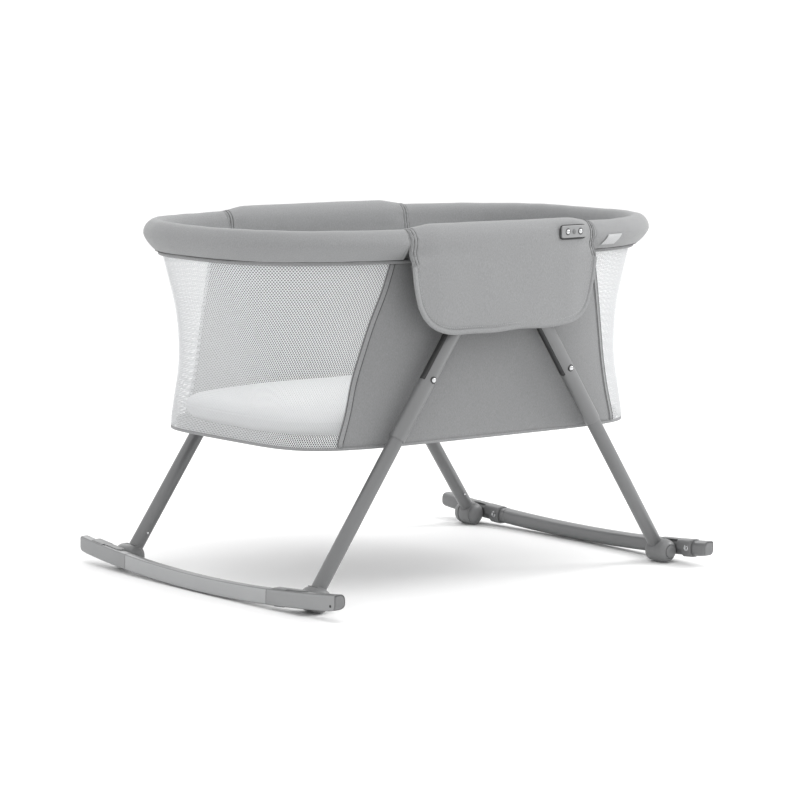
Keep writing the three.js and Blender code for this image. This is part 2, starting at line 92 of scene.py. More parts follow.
# ------------------------------------------------------------------ materials
class Mat:
    def __init__(self, name):
        self.m = bpy.data.materials.new(name)
        self.m.use_nodes = True
        self.t = self.m.node_tree
        self.b = self.t.nodes["Principled BSDF"]
        self.tc = self.n("ShaderNodeTexCoord")

    def n(self, kind, **kw):
        node = self.t.nodes.new(kind)
        for k, v in kw.items():
            setattr(node, k, v)
        return node

    def link(self, a, b):
        self.t.links.new(a, b)

    def coord(self, which="Object", scale=(1, 1, 1)):
        mp = self.n("ShaderNodeMapping")
        mp.inputs["Scale"].default_value = scale
        self.link(self.tc.outputs[which], mp.inputs["Vector"])
        return mp.outputs["Vector"]

    def noise(self, vec, scale, detail=2.0, rough=0.5):
        t = self.n("ShaderNodeTexNoise")
        t.inputs["Scale"].default_value = scale
        t.inputs["Detail"].default_value = detail
        t.inputs["Roughness"].default_value = rough
        self.link(vec, t.inputs["Vector"])
        return t.outputs["Fac"]

    def wave(self, vec, scale, direction="X", distortion=0.0):
        t = self.n("ShaderNodeTexWave", bands_direction=direction)
        t.inputs["Scale"].default_value = scale
        t.inputs["Distortion"].default_value = distortion
        self.link(vec, t.inputs["Vector"])
        return t.outputs["Fac"]

    def ramp(self, fac, stops):
        r = self.n("ShaderNodeValToRGB")
        e = r.color_ramp.elements
        while len(e) < len(stops):
            e.new(0.5)
        for el, (p, c) in zip(e, stops):
            el.position = p
            el.color = (*c, 1) if len(c) == 3 else c
        self.link(fac, r.inputs["Fac"])
        return r.outputs["Color"]

    def math(self, op, a, b=None, c=None):
        m = self.n("ShaderNodeMath", operation=op)
        for i, v in enumerate((a, b, c)):
            if v is None:
                continue
            if isinstance(v, (int, float)):
                m.inputs[i].default_value = v
            else:
                self.link(v, m.inputs[i])
        return m.outputs[0]

    def mix(self, fac, a, b, kind="MIX"):
        m = self.n("ShaderNodeMix", data_type="RGBA", blend_type=kind)
        for sock, v in ((m.inputs[0], fac), (m.inputs[6], a), (m.inputs[7], b)):
            if isinstance(v, (int, float)):
                sock.default_value = v
            elif isinstance(v, tuple):
                sock.default_value = (*v, 1)
            else:
                self.link(v, sock)
        return m.outputs[2]

    def color(self, out):
        self.link(out, self.b.inputs["Base Color"])

    def rough(self, out):
        self.link(out, self.b.inputs["Roughness"])

    def bump(self, height, strength, dist):
        b = self.n("ShaderNodeBump")
        b.inputs["Strength"].default_value = strength
        b.inputs["Distance"].default_value = dist
        self.link(height, b.inputs["Height"])
        self.link(b.outputs["Normal"], self.b.inputs["Normal"])

def grey(v, cool=0.012):
    return (v * (1 - cool), v, v * (1 + cool))

def fabric(name, dark, light, period=0.0011, sheen=0.25, uv=True, strength=0.5):
    m = Mat(name)
    v = m.coord("Object")
    fleck = m.noise(m.coord("Object", (1, 1, 0.35)), 950, 3, 0.7)
    cloud = m.noise(v, 24, 3, 0.6)
    col = m.ramp(fleck, [(0.30, grey(dark)), (0.52, grey((dark + light) / 2)), (0.72, grey(light))])
    col = m.mix(m.math("MULTIPLY", cloud, 0.22), col, grey(dark * 1.05))
    m.color(col)
    src = "UV" if uv else "Object"
    k = 2 * math.pi / (20 * period)
    wx, wy = m.wave(m.coord(src), k, "X"), m.wave(m.coord(src), k, "Y")
    h = m.math("MAXIMUM", wx, wy)
    h = m.math("ADD", h, m.math("MULTIPLY", fleck, 0.8))
    m.bump(h, strength, 0.0003)
    m.rough(m.math("ADD", 0.78, m.math("MULTIPLY", fleck, 0.18)))
    m.b.inputs["Sheen Weight"].default_value = sheen
    m.b.inputs["Sheen Roughness"].default_value = 0.5
    m.b.inputs["Specular IOR Level"].default_value = 0.25
    return m.m

def plastic(name, base, rough=0.48, grain=1400, metal=0.0, coat=0.0, bump=0.12, vary=0.10):
    m = Mat(name)
    v = m.coord("Object")
    cloud = m.noise(v, 9, 4, 0.6)
    fine = m.noise(v, grain, 2, 0.6)
    m.color(m.ramp(cloud, [(0.3, grey(base * (1 - vary))), (0.7, grey(base * (1 + vary)))]))
    m.rough(m.math("ADD", rough - 0.07, m.math("ADD", m.math("MULTIPLY", cloud, 0.10), m.math("MULTIPLY", fine, 0.06))))
    m.b.inputs["Metallic"].default_value = metal
    m.b.inputs["Coat Weight"].default_value = coat
    m.bump(fine, bump, 0.0002)
    return m.m

def netting(name, period=0.0042, hole=0.325, base=0.80):
    """knitted spacer netting: round-cornered holes on a hexagonal pitch, laid out in metres of cloth"""
    m = Mat(name)
    sep = m.n("ShaderNodeSeparateXYZ")
    m.link(m.tc.outputs["UV"], sep.inputs[0])
    py = period * 1.405
    u = m.math("DIVIDE", sep.outputs[0], period)
    v = m.math("DIVIDE", sep.outputs[1], py)
    def cell(shift):
        a = m.math("SUBTRACT", m.math("FRACT", m.math("ADD", u, shift)), 0.5)
        b = m.math("MULTIPLY", m.math("SUBTRACT", m.math("FRACT", m.math("ADD", v, shift)), 0.5), 1.405)
        b = m.math("MULTIPLY", b, 0.94)
        return m.math("SQRT", m.math("ADD", m.math("MULTIPLY", a, a), m.math("MULTIPLY", b, b)))
    d = m.math("MINIMUM", cell(0.0), cell(0.5))
    solid = m.math("GREATER_THAN", d, hole)
    m.link(solid, m.b.inputs["Alpha"])
    fleck = m.noise(m.coord("Object"), 1500, 2, 0.6)
    edge = m.math("MULTIPLY", m.math("SUBTRACT", d, hole), 4.0)
    m.color(m.ramp(m.math("ADD", edge, m.math("MULTIPLY", fleck, 0.5)), [(0.1, grey(base * 0.80)), (0.9, grey(base))]))
    m.bump(m.math("ADD", d, m.math("MULTIPLY", fleck, 0.2)), 0.6, 0.0006)
    m.b.inputs["Roughness"].default_value = 0.9
    m.b.inputs["Sheen Weight"].default_value = 0.2
    m.m.blend_method = "HASHED" if hasattr(m.m, "blend_method") else m.m.blend_method
    return m.m

MT = {
    "fabric": fabric("fabric_grey_melange", 0.222, 0.310),
    "panel": fabric("panel_grey_melange", 0.195, 0.275),
    "binding": fabric("binding_tape", 0.17, 0.25, 0.0016, 0.15),
    "piping": fabric("piping_cloth", 0.22, 0.32, 0.0014, 0.15),
    "mattress": fabric("mattress_cover", 0.60, 0.74, 0.0024, 0.2, uv=False),
    "thread": fabric("sewing_thread", 0.30, 0.42, 0.0006, 0.3, uv=False),
    "seam": fabric("seam_thread_dark", 0.045, 0.085, 0.0006, 0.1, uv=False),
    "label": fabric("woven_label", 0.46, 0.56, 0.0006, 0.2),
    "net": netting("mesh_netting"),
    "tube": plastic("tube_powder_coat", 0.185, 0.36, 2200, 0.30, 0.10, 0.10, 0.04),
    "lower": plastic("lower_tube_powder_coat", 0.170, 0.36, 2200, 0.30, 0.10, 0.10, 0.04),
    "rail": plastic("rail_satin_silver", 0.36, 0.36, 2600, 0.45, 0.05, 0.08, 0.04),
    "sleeve": plastic("sleeve_moulded_grey", 0.25, 0.42, 1500, 0.0, 0.10, 0.18, 0.06),
    "plastic": plastic("moulded_grey", 0.17, 0.44, 1300, 0.0, 0.10, 0.22, 0.07),
    "plate": plastic("lock_plate_grey", 0.27, 0.40, 1300, 0.0, 0.15, 0.20, 0.07),
    "black": plastic("moulded_black", 0.022, 0.50, 1300, 0.0, 0.0, 0.25, 0.15),
    "steel": plastic("polished_steel", 0.62, 0.18, 3000, 1.0, 0.0, 0.05, 0.05),
    "board": fabric("board_cover", 0.07, 0.12, 0.0016, 0.1, uv=False),
}

def floor():
    me = bpy.data.meshes.new("floor")
    s = 160
    me.from_pydata([(-s, -s, 0), (s, -s, 0), (s, s, 0), (-s, s, 0)], [], [(0, 1, 2, 3)])
    ob = bpy.data.objects.new("floor", me)
    bpy.context.scene.collection.objects.link(ob)
    m = Mat("floor_pale")
    c = m.noise(m.coord("Object"), 1.5, 2, 0.5)
    m.color(m.ramp(c, [(0.3, (0.955, 0.955, 0.955)), (0.7, (0.97, 0.97, 0.97))]))
    m.b.inputs["Roughness"].default_value = 0.8
    m.b.inputs["Specular IOR Level"].default_value = 0.1
    ob.data.materials.append(m.m)

floor()

# ------------------------------------------------------------------ mesh helpers
def obj(name, me, mat, smooth=True):
    ob = bpy.data.objects.new(name, me)
    bpy.context.scene.collection.objects.link(ob)
    me.materials.append(MT[mat])
    if smooth:
        for p in me.polygons:
            p.use_smooth = True
    return ob

def grid(name, P, mat, cu=False, cv=False, caps=False, uv=None, smooth=True):
    """quad surface through P[u, v]; cu, cv close it round; caps closes the two u ends of a v loop"""
    P = np.asarray(P, float)
    nu, nv = P.shape[:2]
    verts = P.reshape(-1, 3)
    faces, fuv = [], []
    U = uv if uv is not None else arc(P)
    for i in range(nu if cu else nu - 1):
        for j in range(nv if cv else nv - 1):
            i2, j2 = (i + 1) % nu, (j + 1) % nv
            faces.append((i * nv + j, i2 * nv + j, i2 * nv + j2, i * nv + j2))
            ui, uj = i + 1, j + 1
            fuv.append(((i, j), (ui, j), (ui, uj), (i, uj)))
    me = bpy.data.meshes.new(name)
    if caps:
        faces.append(tuple(range(nv)))
        faces.append(tuple((nu - 1) * nv + j for j in reversed(range(nv))))
    me.from_pydata(verts.tolist(), [], faces)
    layer = me.uv_layers.new(name="UVMap")
    k = 0
    uvs = np.zeros((len(me.loops), 2))
    for f in fuv:
        for (i, j) in f:
            uvs[k] = U(i, j)
            k += 1
    while k < len(me.loops):
        vi = me.loops[k].vertex_index
        uvs[k] = U(vi // nv, vi % nv)
        k += 1
    layer.data.foreach_set("uv", uvs.ravel())
    me.validate()
    bm = bmesh.new(); bm.from_mesh(me)
    bmesh.ops.recalc_face_normals(bm, faces=bm.faces)
    bm.to_mesh(me); bm.free()
    return obj(name, me, mat, smooth)

def arc(P):
    """cloth coordinates in metres: arc length both ways, extended past a closed end"""
    nu, nv = P.shape[:2]
    du = np.linalg.norm(np.diff(np.concatenate([P, P[:1]], 0), axis=0), axis=2).mean(1)
    dv = np.linalg.norm(np.diff(np.concatenate([P, P[:, :1]], 1), axis=1), axis=2).mean(0)
    cu, cv = np.concatenate([[0], np.cumsum(du)]), np.concatenate([[0], np.cumsum(dv)])
    return lambda i, j: (cu[i], cv[j])

def apply_mods(ob):
    dg = bpy.context.evaluated_depsgraph_get()
    dg.update()
    me = bpy.data.meshes.new_from_object(ob.evaluated_get(dg), preserve_all_data_layers=True, depsgraph=dg)
    ob.modifiers.clear()
    ob.data = me
    return ob

def solidify(ob, t, offset=-1.0):
    m = ob.modifiers.new("s", "SOLIDIFY")
    m.thickness, m.offset = t, offset
    m.use_even_offset = True
    return apply_mods(ob)

def bevel(ob, w, seg=3, angle=30):
    m = ob.modifiers.new("b", "BEVEL")
    m.width, m.segments, m.limit_method, m.angle_limit = w, seg, "ANGLE", math.radians(angle)
    m.harden_normals = False
    return apply_mods(ob)

def boolean(ob, other, op="DIFFERENCE"):
    m = ob.modifiers.new("x", "BOOLEAN")
    m.operation, m.solver, m.object = op, "EXACT", other
    bpy.context.view_layer.update()
    apply_mods(ob)
    bpy.data.objects.remove(other)
    return ob

def join(name, obs):
    bm = bmesh.new()
    mats = []
    for o in obs:
        for s in o.data.materials:
            if s not in mats:
                mats.append(s)
    for o in obs:
        me = o.data.copy()
        remap = [mats.index(s) for s in o.data.materials]
        for p in me.polygons:
            p.material_index = remap[p.material_index] if remap else 0
        me.transform(o.matrix_world)
        bm.from_mesh(me)
        bpy.data.meshes.remove(me)
    out = bpy.data.meshes.new(name)
    bm.to_mesh(out); bm.free()
    for s in mats:
        out.materials.append(s)
    for o in obs:
        bpy.data.objects.remove(o)
    ob = bpy.data.objects.new(name, out)
    bpy.context.scene.collection.objects.link(ob)
    return ob

def sweep(name, pts, section, mat, closed=False, up=(0, 0, 1), normals=None):
    """section [(a, b)] swept along pts; a runs along the side normal, b along up"""
    pts = np.asarray(pts, float)
    n = len(pts)
    P = []
    for i in range(n):
        if closed:
            t = pts[(i + 1) % n] - pts[i - 1]
        else:
            t = pts[min(i + 1, n - 1)] - pts[max(i - 1, 0)]
        t = t / (np.linalg.norm(t) + 1e-12)
        u = np.array(up if normals is None else normals[i], float)
        s = np.cross(t, u); s /= np.linalg.norm(s) + 1e-12
        u2 = np.cross(s, t)
        P.append([pts[i] + s * a + u2 * b for a, b in section])
    return grid(name, P, mat, cu=closed, cv=True, caps=not closed)

def ellipse(ra, rb, n=12, ph=0.0):
    return [(ra * math.cos(2 * math.pi * (k + ph) / n), rb * math.sin(2 * math.pi * (k + ph) / n)) for k in range(n)]

def lathe(name, profile, origin, axis, mat, seg=48):
    """profile [(r, h)] turned about axis; starts and ends on the axis"""
    ax = Vector(axis).normalized()
    e1 = ax.orthogonal().normalized(); e2 = ax.cross(e1)
    o = Vector(origin)
    verts, faces, rows = [], [], []
    for r, h in profile:
        if r < 1e-7:
            rows.append([len(verts)]); verts.append(o + ax * h)
        else:
            rows.append(list(range(len(verts), len(verts) + seg)))
            for k in range(seg):
                w = 2 * math.pi * k / seg
                verts.append(o + ax * h + (e1 * math.cos(w) + e2 * math.sin(w)) * r)
    for a, b in zip(rows, rows[1:]):
        for k in range(seg):
            k2 = (k + 1) % seg
            if len(a) == 1 and len(b) == 1:
                continue
            if len(a) == 1:
                faces.append((a[0], b[k], b[k2]))
            elif len(b) == 1:
                faces.append((a[k], b[0], a[k2]))
            else:
                faces.append((a[k], b[k], b[k2], a[k2]))
    if len(rows[0]) > 1 and len(rows[-1]) > 1:
        a, b = rows[-1], rows[0]
        for k in range(seg):
            k2 = (k + 1) % seg
            faces.append((a[k], b[k], b[k2], a[k2]))
    me = bpy.data.meshes.new(name)
    me.from_pydata([tuple(v) for v in verts], [], faces)
    bm = bmesh.new(); bm.from_mesh(me)
    bmesh.ops.recalc_face_normals(bm, faces=bm.faces)
    bm.to_mesh(me); bm.free()
    ob = obj(name, me, mat)
    sharp(ob)
    return ob

def sharp(ob, deg=32):
    """marks creases so that smooth shading keeps machined edges crisp"""
    bm = bmesh.new(); bm.from_mesh(ob.data)
    for e in bm.edges:
        if len(e.link_faces) == 2:
            e.smooth = e.calc_face_angle(0) < math.radians(deg)
    for f in bm.faces:
        f.smooth = True
    bm.to_mesh(ob.data); bm.free()
    return ob

def box_ob(name, w, axes, origin, mat):
    """box of half sizes w along three axes round origin"""
    vs = []
    for sx in (-1, 1):
        for sy in (-1, 1):
            for sz in (-1, 1):
                vs.append(Vector(origin) + Vector(axes[0]) * w[0] * sx + Vector(axes[1]) * w[1] * sy + Vector(axes[2]) * w[2] * sz)
    f = [(0, 1, 3, 2), (4, 6, 7, 5), (0, 4, 5, 1), (2, 3, 7, 6), (0, 2, 6, 4), (1, 5, 7, 3)]
    me = bpy.data.meshes.new(name)
    me.from_pydata([tuple(v) for v in vs], [], f)
    bm = bmesh.new(); bm.from_mesh(me)
    bmesh.ops.recalc_face_normals(bm, faces=bm.faces)
    bm.to_mesh(me); bm.free()
    return obj(name, me, mat, smooth=False)

def stitches(name, pts, mat="thread", pitch=4.6, length=3.2, r=0.42, normals=None):
    """a run of thread stitches along a line of points, in metres"""
    pts = np.asarray(pts, float)
    seg = np.linalg.norm(np.diff(pts, axis=0), axis=1)
    s = np.concatenate([[0], np.cumsum(seg)])
    out_v, out_f = [], []
    def at(x):
        return np.array([np.interp(x, s, pts[:, k]) for k in range(3)])
    def nat(x):
        v = np.array([np.interp(x, s, normals[:, k]) for k in range(3)])
        return v / np.linalg.norm(v)
    x = pitch * mm / 2
    normals = np.asarray(normals, float)
    while x + length * mm / 2 < s[-1]:
        a, b = at(x - length * mm / 2), at(x + length * mm / 2)
        n = nat(x)
        t = b - a; t /= np.linalg.norm(t) + 1e-12
        side = np.cross(t, n)
        base = len(out_v)
        for k, (q, w, lift) in enumerate(((a, 0.45, -0.2), (a * 0.75 + b * 0.25, 1.0, 0.45), (a * 0.25 + b * 0.75, 1.0, 0.45), (b, 0.45, -0.2))):
            for j in range(6):
                ang = 2 * math.pi * j / 6
                out_v.append(q + n * (lift * r * mm + r * mm * w * math.sin(ang)) + side * (r * mm * w * math.cos(ang)))
        for k in range(3):
            for j in range(6):
                j2 = (j + 1) % 6
                out_f.append((base + k * 6 + j, base + k * 6 + j2, base + (k + 1) * 6 + j2, base + (k + 1) * 6 + j))
        out_f.append(tuple(base + j for j in reversed(range(6))))
        out_f.append(tuple(base + 18 + j for j in range(6)))
        x += pitch * mm
    me = bpy.data.meshes.new(name)
    me.from_pydata([tuple(v) for v in out_v], [], out_f)
    bm = bmesh.new(); bm.from_mesh(me)
    bmesh.ops.recalc_face_normals(bm, faces=bm.faces)
    bm.to_mesh(me); bm.free()
    return obj(name, me, mat)

def nz(p, scale, seed=0.0):
    return noise.noise(Vector((p[0] * scale + seed, p[1] * scale - seed, p[2] * scale + 2 * seed)))

def half_turn(ob, name):
    me = ob.data.copy()
    me.transform(Matrix.Rotation(math.pi, 4, "Z"))
    o = bpy.data.objects.new(name, me)
    bpy.context.scene.collection.objects.link(o)
    return o

# ------------------------------------------------------------------ outlines shared with the frame (millimetres)
CREST_A, CREST_B, RIM_N = 439.0, 240.0, 3.0
def sup(a, b, n, t):
    c, s = math.cos(t), math.sin(t)
    return (a * math.copysign(abs(c) ** (2 / n), c), b * math.copysign(abs(s) ** (2 / n), s))
def supT(a, n, x):
    return math.acos(max(-1, min(1, math.copysign(abs(x / a) ** (n / 2), x))))
def supY(a, b, n, x):
    return b * max(0.0, 1 - abs(x / a) ** n) ** (1 / n)
def even(a, b, n, t0, t1, steps):
    near = np.array([k * math.pi / 2 + sg * (j / 160) ** (n / 2) * 0.35 for k in range(-4, 9) for sg in (-1, 1) for j in range(1, 161)])
    t = np.unique(np.concatenate([np.linspace(t0, t1, 1600), near[(near > min(t0, t1)) & (near < max(t0, t1))]]))
    if t1 < t0:
        t = t[::-1]
    p = np.array([sup(a, b, n, q) for q in t])
    s = np.concatenate([[0], np.cumsum(np.linalg.norm(np.diff(p, axis=0), axis=1))])
    return np.interp(np.linspace(0, s[-1], steps + 1), s, t)
def catmull(pts, m, closed=False):
    """smooth resampling of a polyline, m points in all, even in arc length"""
    pts = np.asarray(pts, float)
    n = len(pts)
    out = []
    for i in range(n if closed else n - 1):
        if closed:
            p = [pts[(i + k) % n] for k in (-1, 0, 1, 2)]
        else:
            p = [pts[max(0, i - 1)], pts[i], pts[i + 1], pts[min(n - 1, i + 2)]]
        for q in np.linspace(0, 1, 12, endpoint=False):
            out.append(0.5 * (2 * p[1] + (p[2] - p[0]) * q + (2 * p[0] - 5 * p[1] + 4 * p[2] - p[3]) * q * q + (3 * p[1] - 3 * p[2] + p[3] - p[0]) * q ** 3))
    out.append(pts[0] if closed else pts[-1])
    out = np.array(out)
    s = np.concatenate([[0], np.cumsum(np.linalg.norm(np.diff(out, axis=0), axis=1))])
    x = np.linspace(0, s[-1], m + 1)[:-1] if closed else np.linspace(0, s[-1], m)
    return np.stack([np.interp(x, s, out[:, k]) for k in range(out.shape[1])], 1)

LEVELS = np.array([[254.3, 376.5, 220.5, 5.0], [300, 384, 217.5, 4.1], [345, 388, 216.2, 3.5], [391, 393.5, 216, 3.25], [440, 403.5, 216, 3.12], [490, 421, 216.2, 3.03], [537.2, 437, 217, 3.0]])
BORDER_L = np.array([[254.3, -302], [300, -284], [345, -270.5], [391, -255], [440, -238], [490, -217.5], [537.2, -203]])
BORDER_R = np.array([[254.3, 290], [300, 283], [345, 279], [391, 272.5], [440, 263], [490, 251], [537.2, 238]])
LV = catmull(LEVELS, 49)
def level(z):
    return [float(np.interp(z, LV[:, 0], LV[:, k])) for k in (1, 2, 3)]
def border(B, z):
    c = catmull(B, 60)
    return float(np.interp(z, c[:, 0], c[:, 1]))

SIN, COS = math.sin(math.radians(35.18)), math.cos(math.radians(35.18))
LEG_Y, APEX_Z, LEG_LEN = 238.0, 562.4, 663.0
def leg(side, yc):
    u, n = np.array([side * SIN, 0, -COS]), np.array([side * COS, 0, SIN])
    return u, n, (lambda du, dn=0.0, dy=0.0: np.array([0, yc, APEX_Z]) + u * du + n * dn + np.array([0, dy, 0]))


def copies(name, ob, body, other_body, near_to_far=None):
    """the half-turn twin of a piece, riding its own body"""
    twin = half_turn(ob, name)
    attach(ob, body)
    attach(twin, other_body)
    return twin

# ------------------------------------------------------------------ rim: padded covers, tape and piping
COVER = [(441, 229, 537.5), (451, 244, 549), (457, 256.5, 564), (455.5, 254.5, 576), (448.5, 248, 585), (439, 240, 588),
         (430, 231, 585), (424, 224.5, 576), (422.5, 221.5, 561), (426, 219.5, 547), (431, 218.5, 538)]

def cover(name):
    sec = catmull(COVER, 30, closed=True)
    t0 = supT(CREST_A, RIM_N, -191.8)
    full = even(CREST_A, CREST_B, RIM_N, t0, 2 * math.pi - t0, 1400)
    fp = np.array([sup(CREST_A, CREST_B, RIM_N, q) for q in full])
    fs = np.concatenate([[0], np.cumsum(np.linalg.norm(np.diff(fp, axis=0), axis=1))])
    near = np.concatenate([np.arange(0, 16, 0.8), np.arange(16, 40, 3.0)])
    want = np.concatenate([near, np.linspace(40, fs[-1] - 40, 190), (fs[-1] - near)[::-1]])
    ts = np.interp(want, fs, full)
    P = []
    for i, t in enumerate(ts):
        edge = min(want[i], fs[-1] - want[i])          # distance to the seam
        pinch = math.exp(-edge / 2.2)
        groove = math.exp(-((edge - 5.2) / 1.2) ** 2)
        soft = math.exp(-edge / 22)
        ring = []
        cx, cy = sup(440, 238, RIM_N, t)
        for k, (a, b, z) in enumerate(sec):
            x, y = sup(a, b, RIM_N, t)
            d = Vector((x - cx, y - cy, z - 562))
            w = nz((x, y, z), 0.012, 3.1) * 1.3 + nz((x, y, z), 0.035, 9.7) * 0.55
            pucker = 0.45 * soft * math.sin(k * 1.7 + 1.1 * math.sin(k * 0.6))
            f = 1 + (w * (1 - 0.6 * soft) + pucker - 1.7 * pinch - 0.9 * groove) / max(d.length, 8)
            q = Vector((cx, cy, 562)) + d * f
            q.z = max(q.z, 537.3)
            ring.append((q.x * mm, q.y * mm, q.z * mm))
        P.append(ring)
    ob = grid(name, P, "fabric", cv=True, caps=True)
    bm = bmesh.new(); bm.from_mesh(ob.data)
    bmesh.ops.triangulate(bm, faces=[f for f in bm.faces if len(f.verts) > 4])
    bm.to_mesh(ob.data); bm.free()
    for p in ob.data.polygons:
        p.use_smooth = True
    return ob

rim_l = cover("rim_cover_left_padded")
rim_r = half_turn(rim_l, "rim_cover_right_padded")
for o, node in ((rim_l, "rim_cover_left"), (rim_r, "rim_cover_right")):
    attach(o, "crib"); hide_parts(node)

def oval_path(a, b, n, z, count=260, wob=0.0):
    ts = even(a, b, n, 0.0001, 2 * math.pi + 0.0001, count)[:-1]
    return [(*[c * mm for c in sup(a, b, n, t)], (z + wob * math.sin(7 * t)) * mm) for t in ts]

# slim hem where the walls are sewn under the rim, with a sunk stitch line above it
hem = [(-1.2, -2.8), (0.6, -3.0), (1.1, -2.4), (1.3, 0.4), (1.0, 2.6), (0.2, 3.2), (-1.2, 3.0)]
o = sweep("rim_hem", oval_path(440.0, 222.4, 3.0, 535.6), [(a * mm, b * mm) for a, b in hem], "piping", closed=True)
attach(o, "crib")
o = sweep("rim_hem_stitching", oval_path(443.2, 231.4, 3.0, 538.6, 420), ellipse(0.55 * mm, 0.5 * mm, 8), "seam", closed=True)
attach(o, "crib")

# ------------------------------------------------------------------ centre flaps
FB = np.array([(0, 420), (60, 420.4), (110, 422), (140, 426.5), (160, 434), (174, 445), (184, 460), (191, 480), (196.5, 505), (200, 530)], float)
def flap_bottom(x):
    c = catmull(FB, 80)
    w = 1.5 * math.sin(x * 0.022 + 0.8) + 0.8 * math.sin(x * 0.06)
    return float(np.interp(abs(x), c[:, 0], c[:, 1])) + (w if abs(x) < 185 else 0)
def ease(v):
    v = min(1.0, max(0.0, v))
    return v * v * (3 - 2 * v)
def flap_hang(x):
    return 260.5 - 5.0 * ease((abs(x) - 130) / 70)
def flap_section(x):
    ax = min(abs(x), 200)
    s, se = supY(CREST_A, 1, RIM_N, ax), supY(457, 1, RIM_N, ax)
    q = ease((200 - ax) / 52)
    hang, zb = flap_hang(x), flap_bottom(x)
    mid = [(262 * s - 0.6, 550), (262 * s, 567), (259.5 * s, 580), (252 * s, 590.5), (241 * s, 595.5), (229.5 * s, 591), (220 * s, 580), (216 * s, 565), (215.6 * s, 550), (215.2 * s, 533.5)]
    end = [(255.5 * se, 550), (257.8 * se, 564), (256.2 * se, 576), (249.6 * s, 585.8), (240.6 * s, 589.2), (230.6 * s, 586.2), (223.2 * s, 577), (220.4 * s, 562), (217.8 * s, 549), (216.2 * s, 533.5)]
    top = [(a[0] * q + b[0] * (1 - q), a[1] * q + b[1] * (1 - q)) for a, b in zip(mid, end)]
    return [(hang, z) for z in np.linspace(zb, 535, 9)] + top

def flap_sheet(name):
    q = np.concatenate([np.linspace(-201, -170, 34), np.linspace(-170, 170, 92)[1:], np.linspace(170, 201, 34)[1:]])
    P = []
    for x in q:
        c = catmull(flap_section(x), 84)
        row = []
        g = np.gradient(c, axis=0)
        g /= np.linalg.norm(g, axis=1)[:, None] + 1e-9
        for k, (y, z) in enumerate(c):
            w = nz((x, 0, z), 0.013, 5.0) * 1.6 + nz((x, 0, z), 0.05, 1.0) * 0.35
            on_rim = ease((z - 500) / 40) if k < 42 else 1.0
            ax = abs(x)
            if k < 34:   # soft fullness of the hanging cloth
                w += 2.2 * math.sin(x * 0.016 + 0.4) * math.sin(min(1, max(0, (545 - z) / 110)) * 1.6) ** 2
            calm = 1 - 0.75 * math.exp(-(201 - ax) / 18)
            d = w * 0.5 * calm
            d -= on_rim * (2.2 * ease((ax - 196.8) / 4.2) + 1.0 * math.exp(-((200 - ax - 5.2) / 1.2) ** 2) + 0.7 * math.exp(-((200 - ax - 10.6) / 1.3) ** 2))
            d += on_rim * 0.4 * math.exp(-(200 - ax) / 18.0) * math.sin(k * 1.15 + 1.3 * math.sin(k * 0.4))
            row.append((x * mm, -(y + g[k][1] * d) * mm, (z - g[k][0] * d) * mm))
        P.append(row)
    ob = grid(name, P, "fabric")
    ob = solidify(ob, 2.2 * mm, -1.0)
    return ob, np.array(P)

def face_area(P):
    a = P[1:, :-1] - P[:-1, :-1]; b = P[:-1, 1:] - P[:-1, :-1]
    return float(np.linalg.norm(np.cross(a, b), axis=2).sum())

flap_near, FP = flap_sheet("near_flap_cloth")
# solidify has to grow towards the cavity: check which way the cloth went, and turn it if it grew outwards
co = np.array([v.co for v in flap_near.data.vertices])
if co[:, 1].min() < FP[..., 1].min() - 0.001:
    bpy.data.objects.remove(flap_near)
    flap_near = grid("near_flap_cloth", FP, "fabric")
    flap_near = solidify(flap_near, 2.2 * mm, 1.0)
flap_far = half_turn(flap_near, "far_flap_cloth")
FA = face_area(FP)
for o, node in ((flap_near, "near_flap"), (flap_far, "far_flap")):
    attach(o, "crib"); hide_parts(node)
    length = float(np.linalg.norm(np.diff(FP[len(FP) // 2], axis=0), axis=1).sum())

# bound edge along the flap's free border, with its own stitch line
def flap_border(inset=0.0):
    xs = np.concatenate([np.linspace(-200, -186, 14), np.linspace(-186, 186, 150)[1:-1], np.linspace(186, 200, 14)])
    pts = np.array([(x, -flap_hang(x), flap_bottom(x)) for x in xs])
    if inset:
        t = np.gradient(pts, axis=0); t /= np.linalg.norm(t, axis=1)[:, None]
        nrm = np.stack([-t[:, 2], 0 * t[:, 0], t[:, 0]], 1)
        pts = pts + nrm * inset
    return pts
fb = flap_border(2.6)
sec = [(-3.6, -1.7), (3.2, -1.9), (4.0, -1.0), (4.2, 0), (4.0, 1.0), (3.2, 1.9), (-3.6, 1.7), (-4.0, 0)]
def band(name, pts, sec, mat, outward=(0, -1, 0)):
    return sweep(name, np.asarray(pts) * mm, [(a * mm, b * mm) for a, b in sec], mat, normals=[outward] * len(pts))
fbp = fb.copy(); fbp[:, 1] -= 0.0
edge_n = band("near_flap_binding", fbp + np.array([0, 1.1, 0]), sec, "binding")
edge_n.data.materials.clear(); edge_n.data.materials.append(MT["piping"])
edge_f = copies("far_flap_binding", edge_n, "crib", "crib")
st = flap_border(9.5)
st[:, 1] -= 0.35
stn = stitches("near_flap_stitches", st * mm, normals=np.tile([0, -1.0, 0], (len(st), 1)))
copies("far_flap_stitches", stn, "crib", "crib")

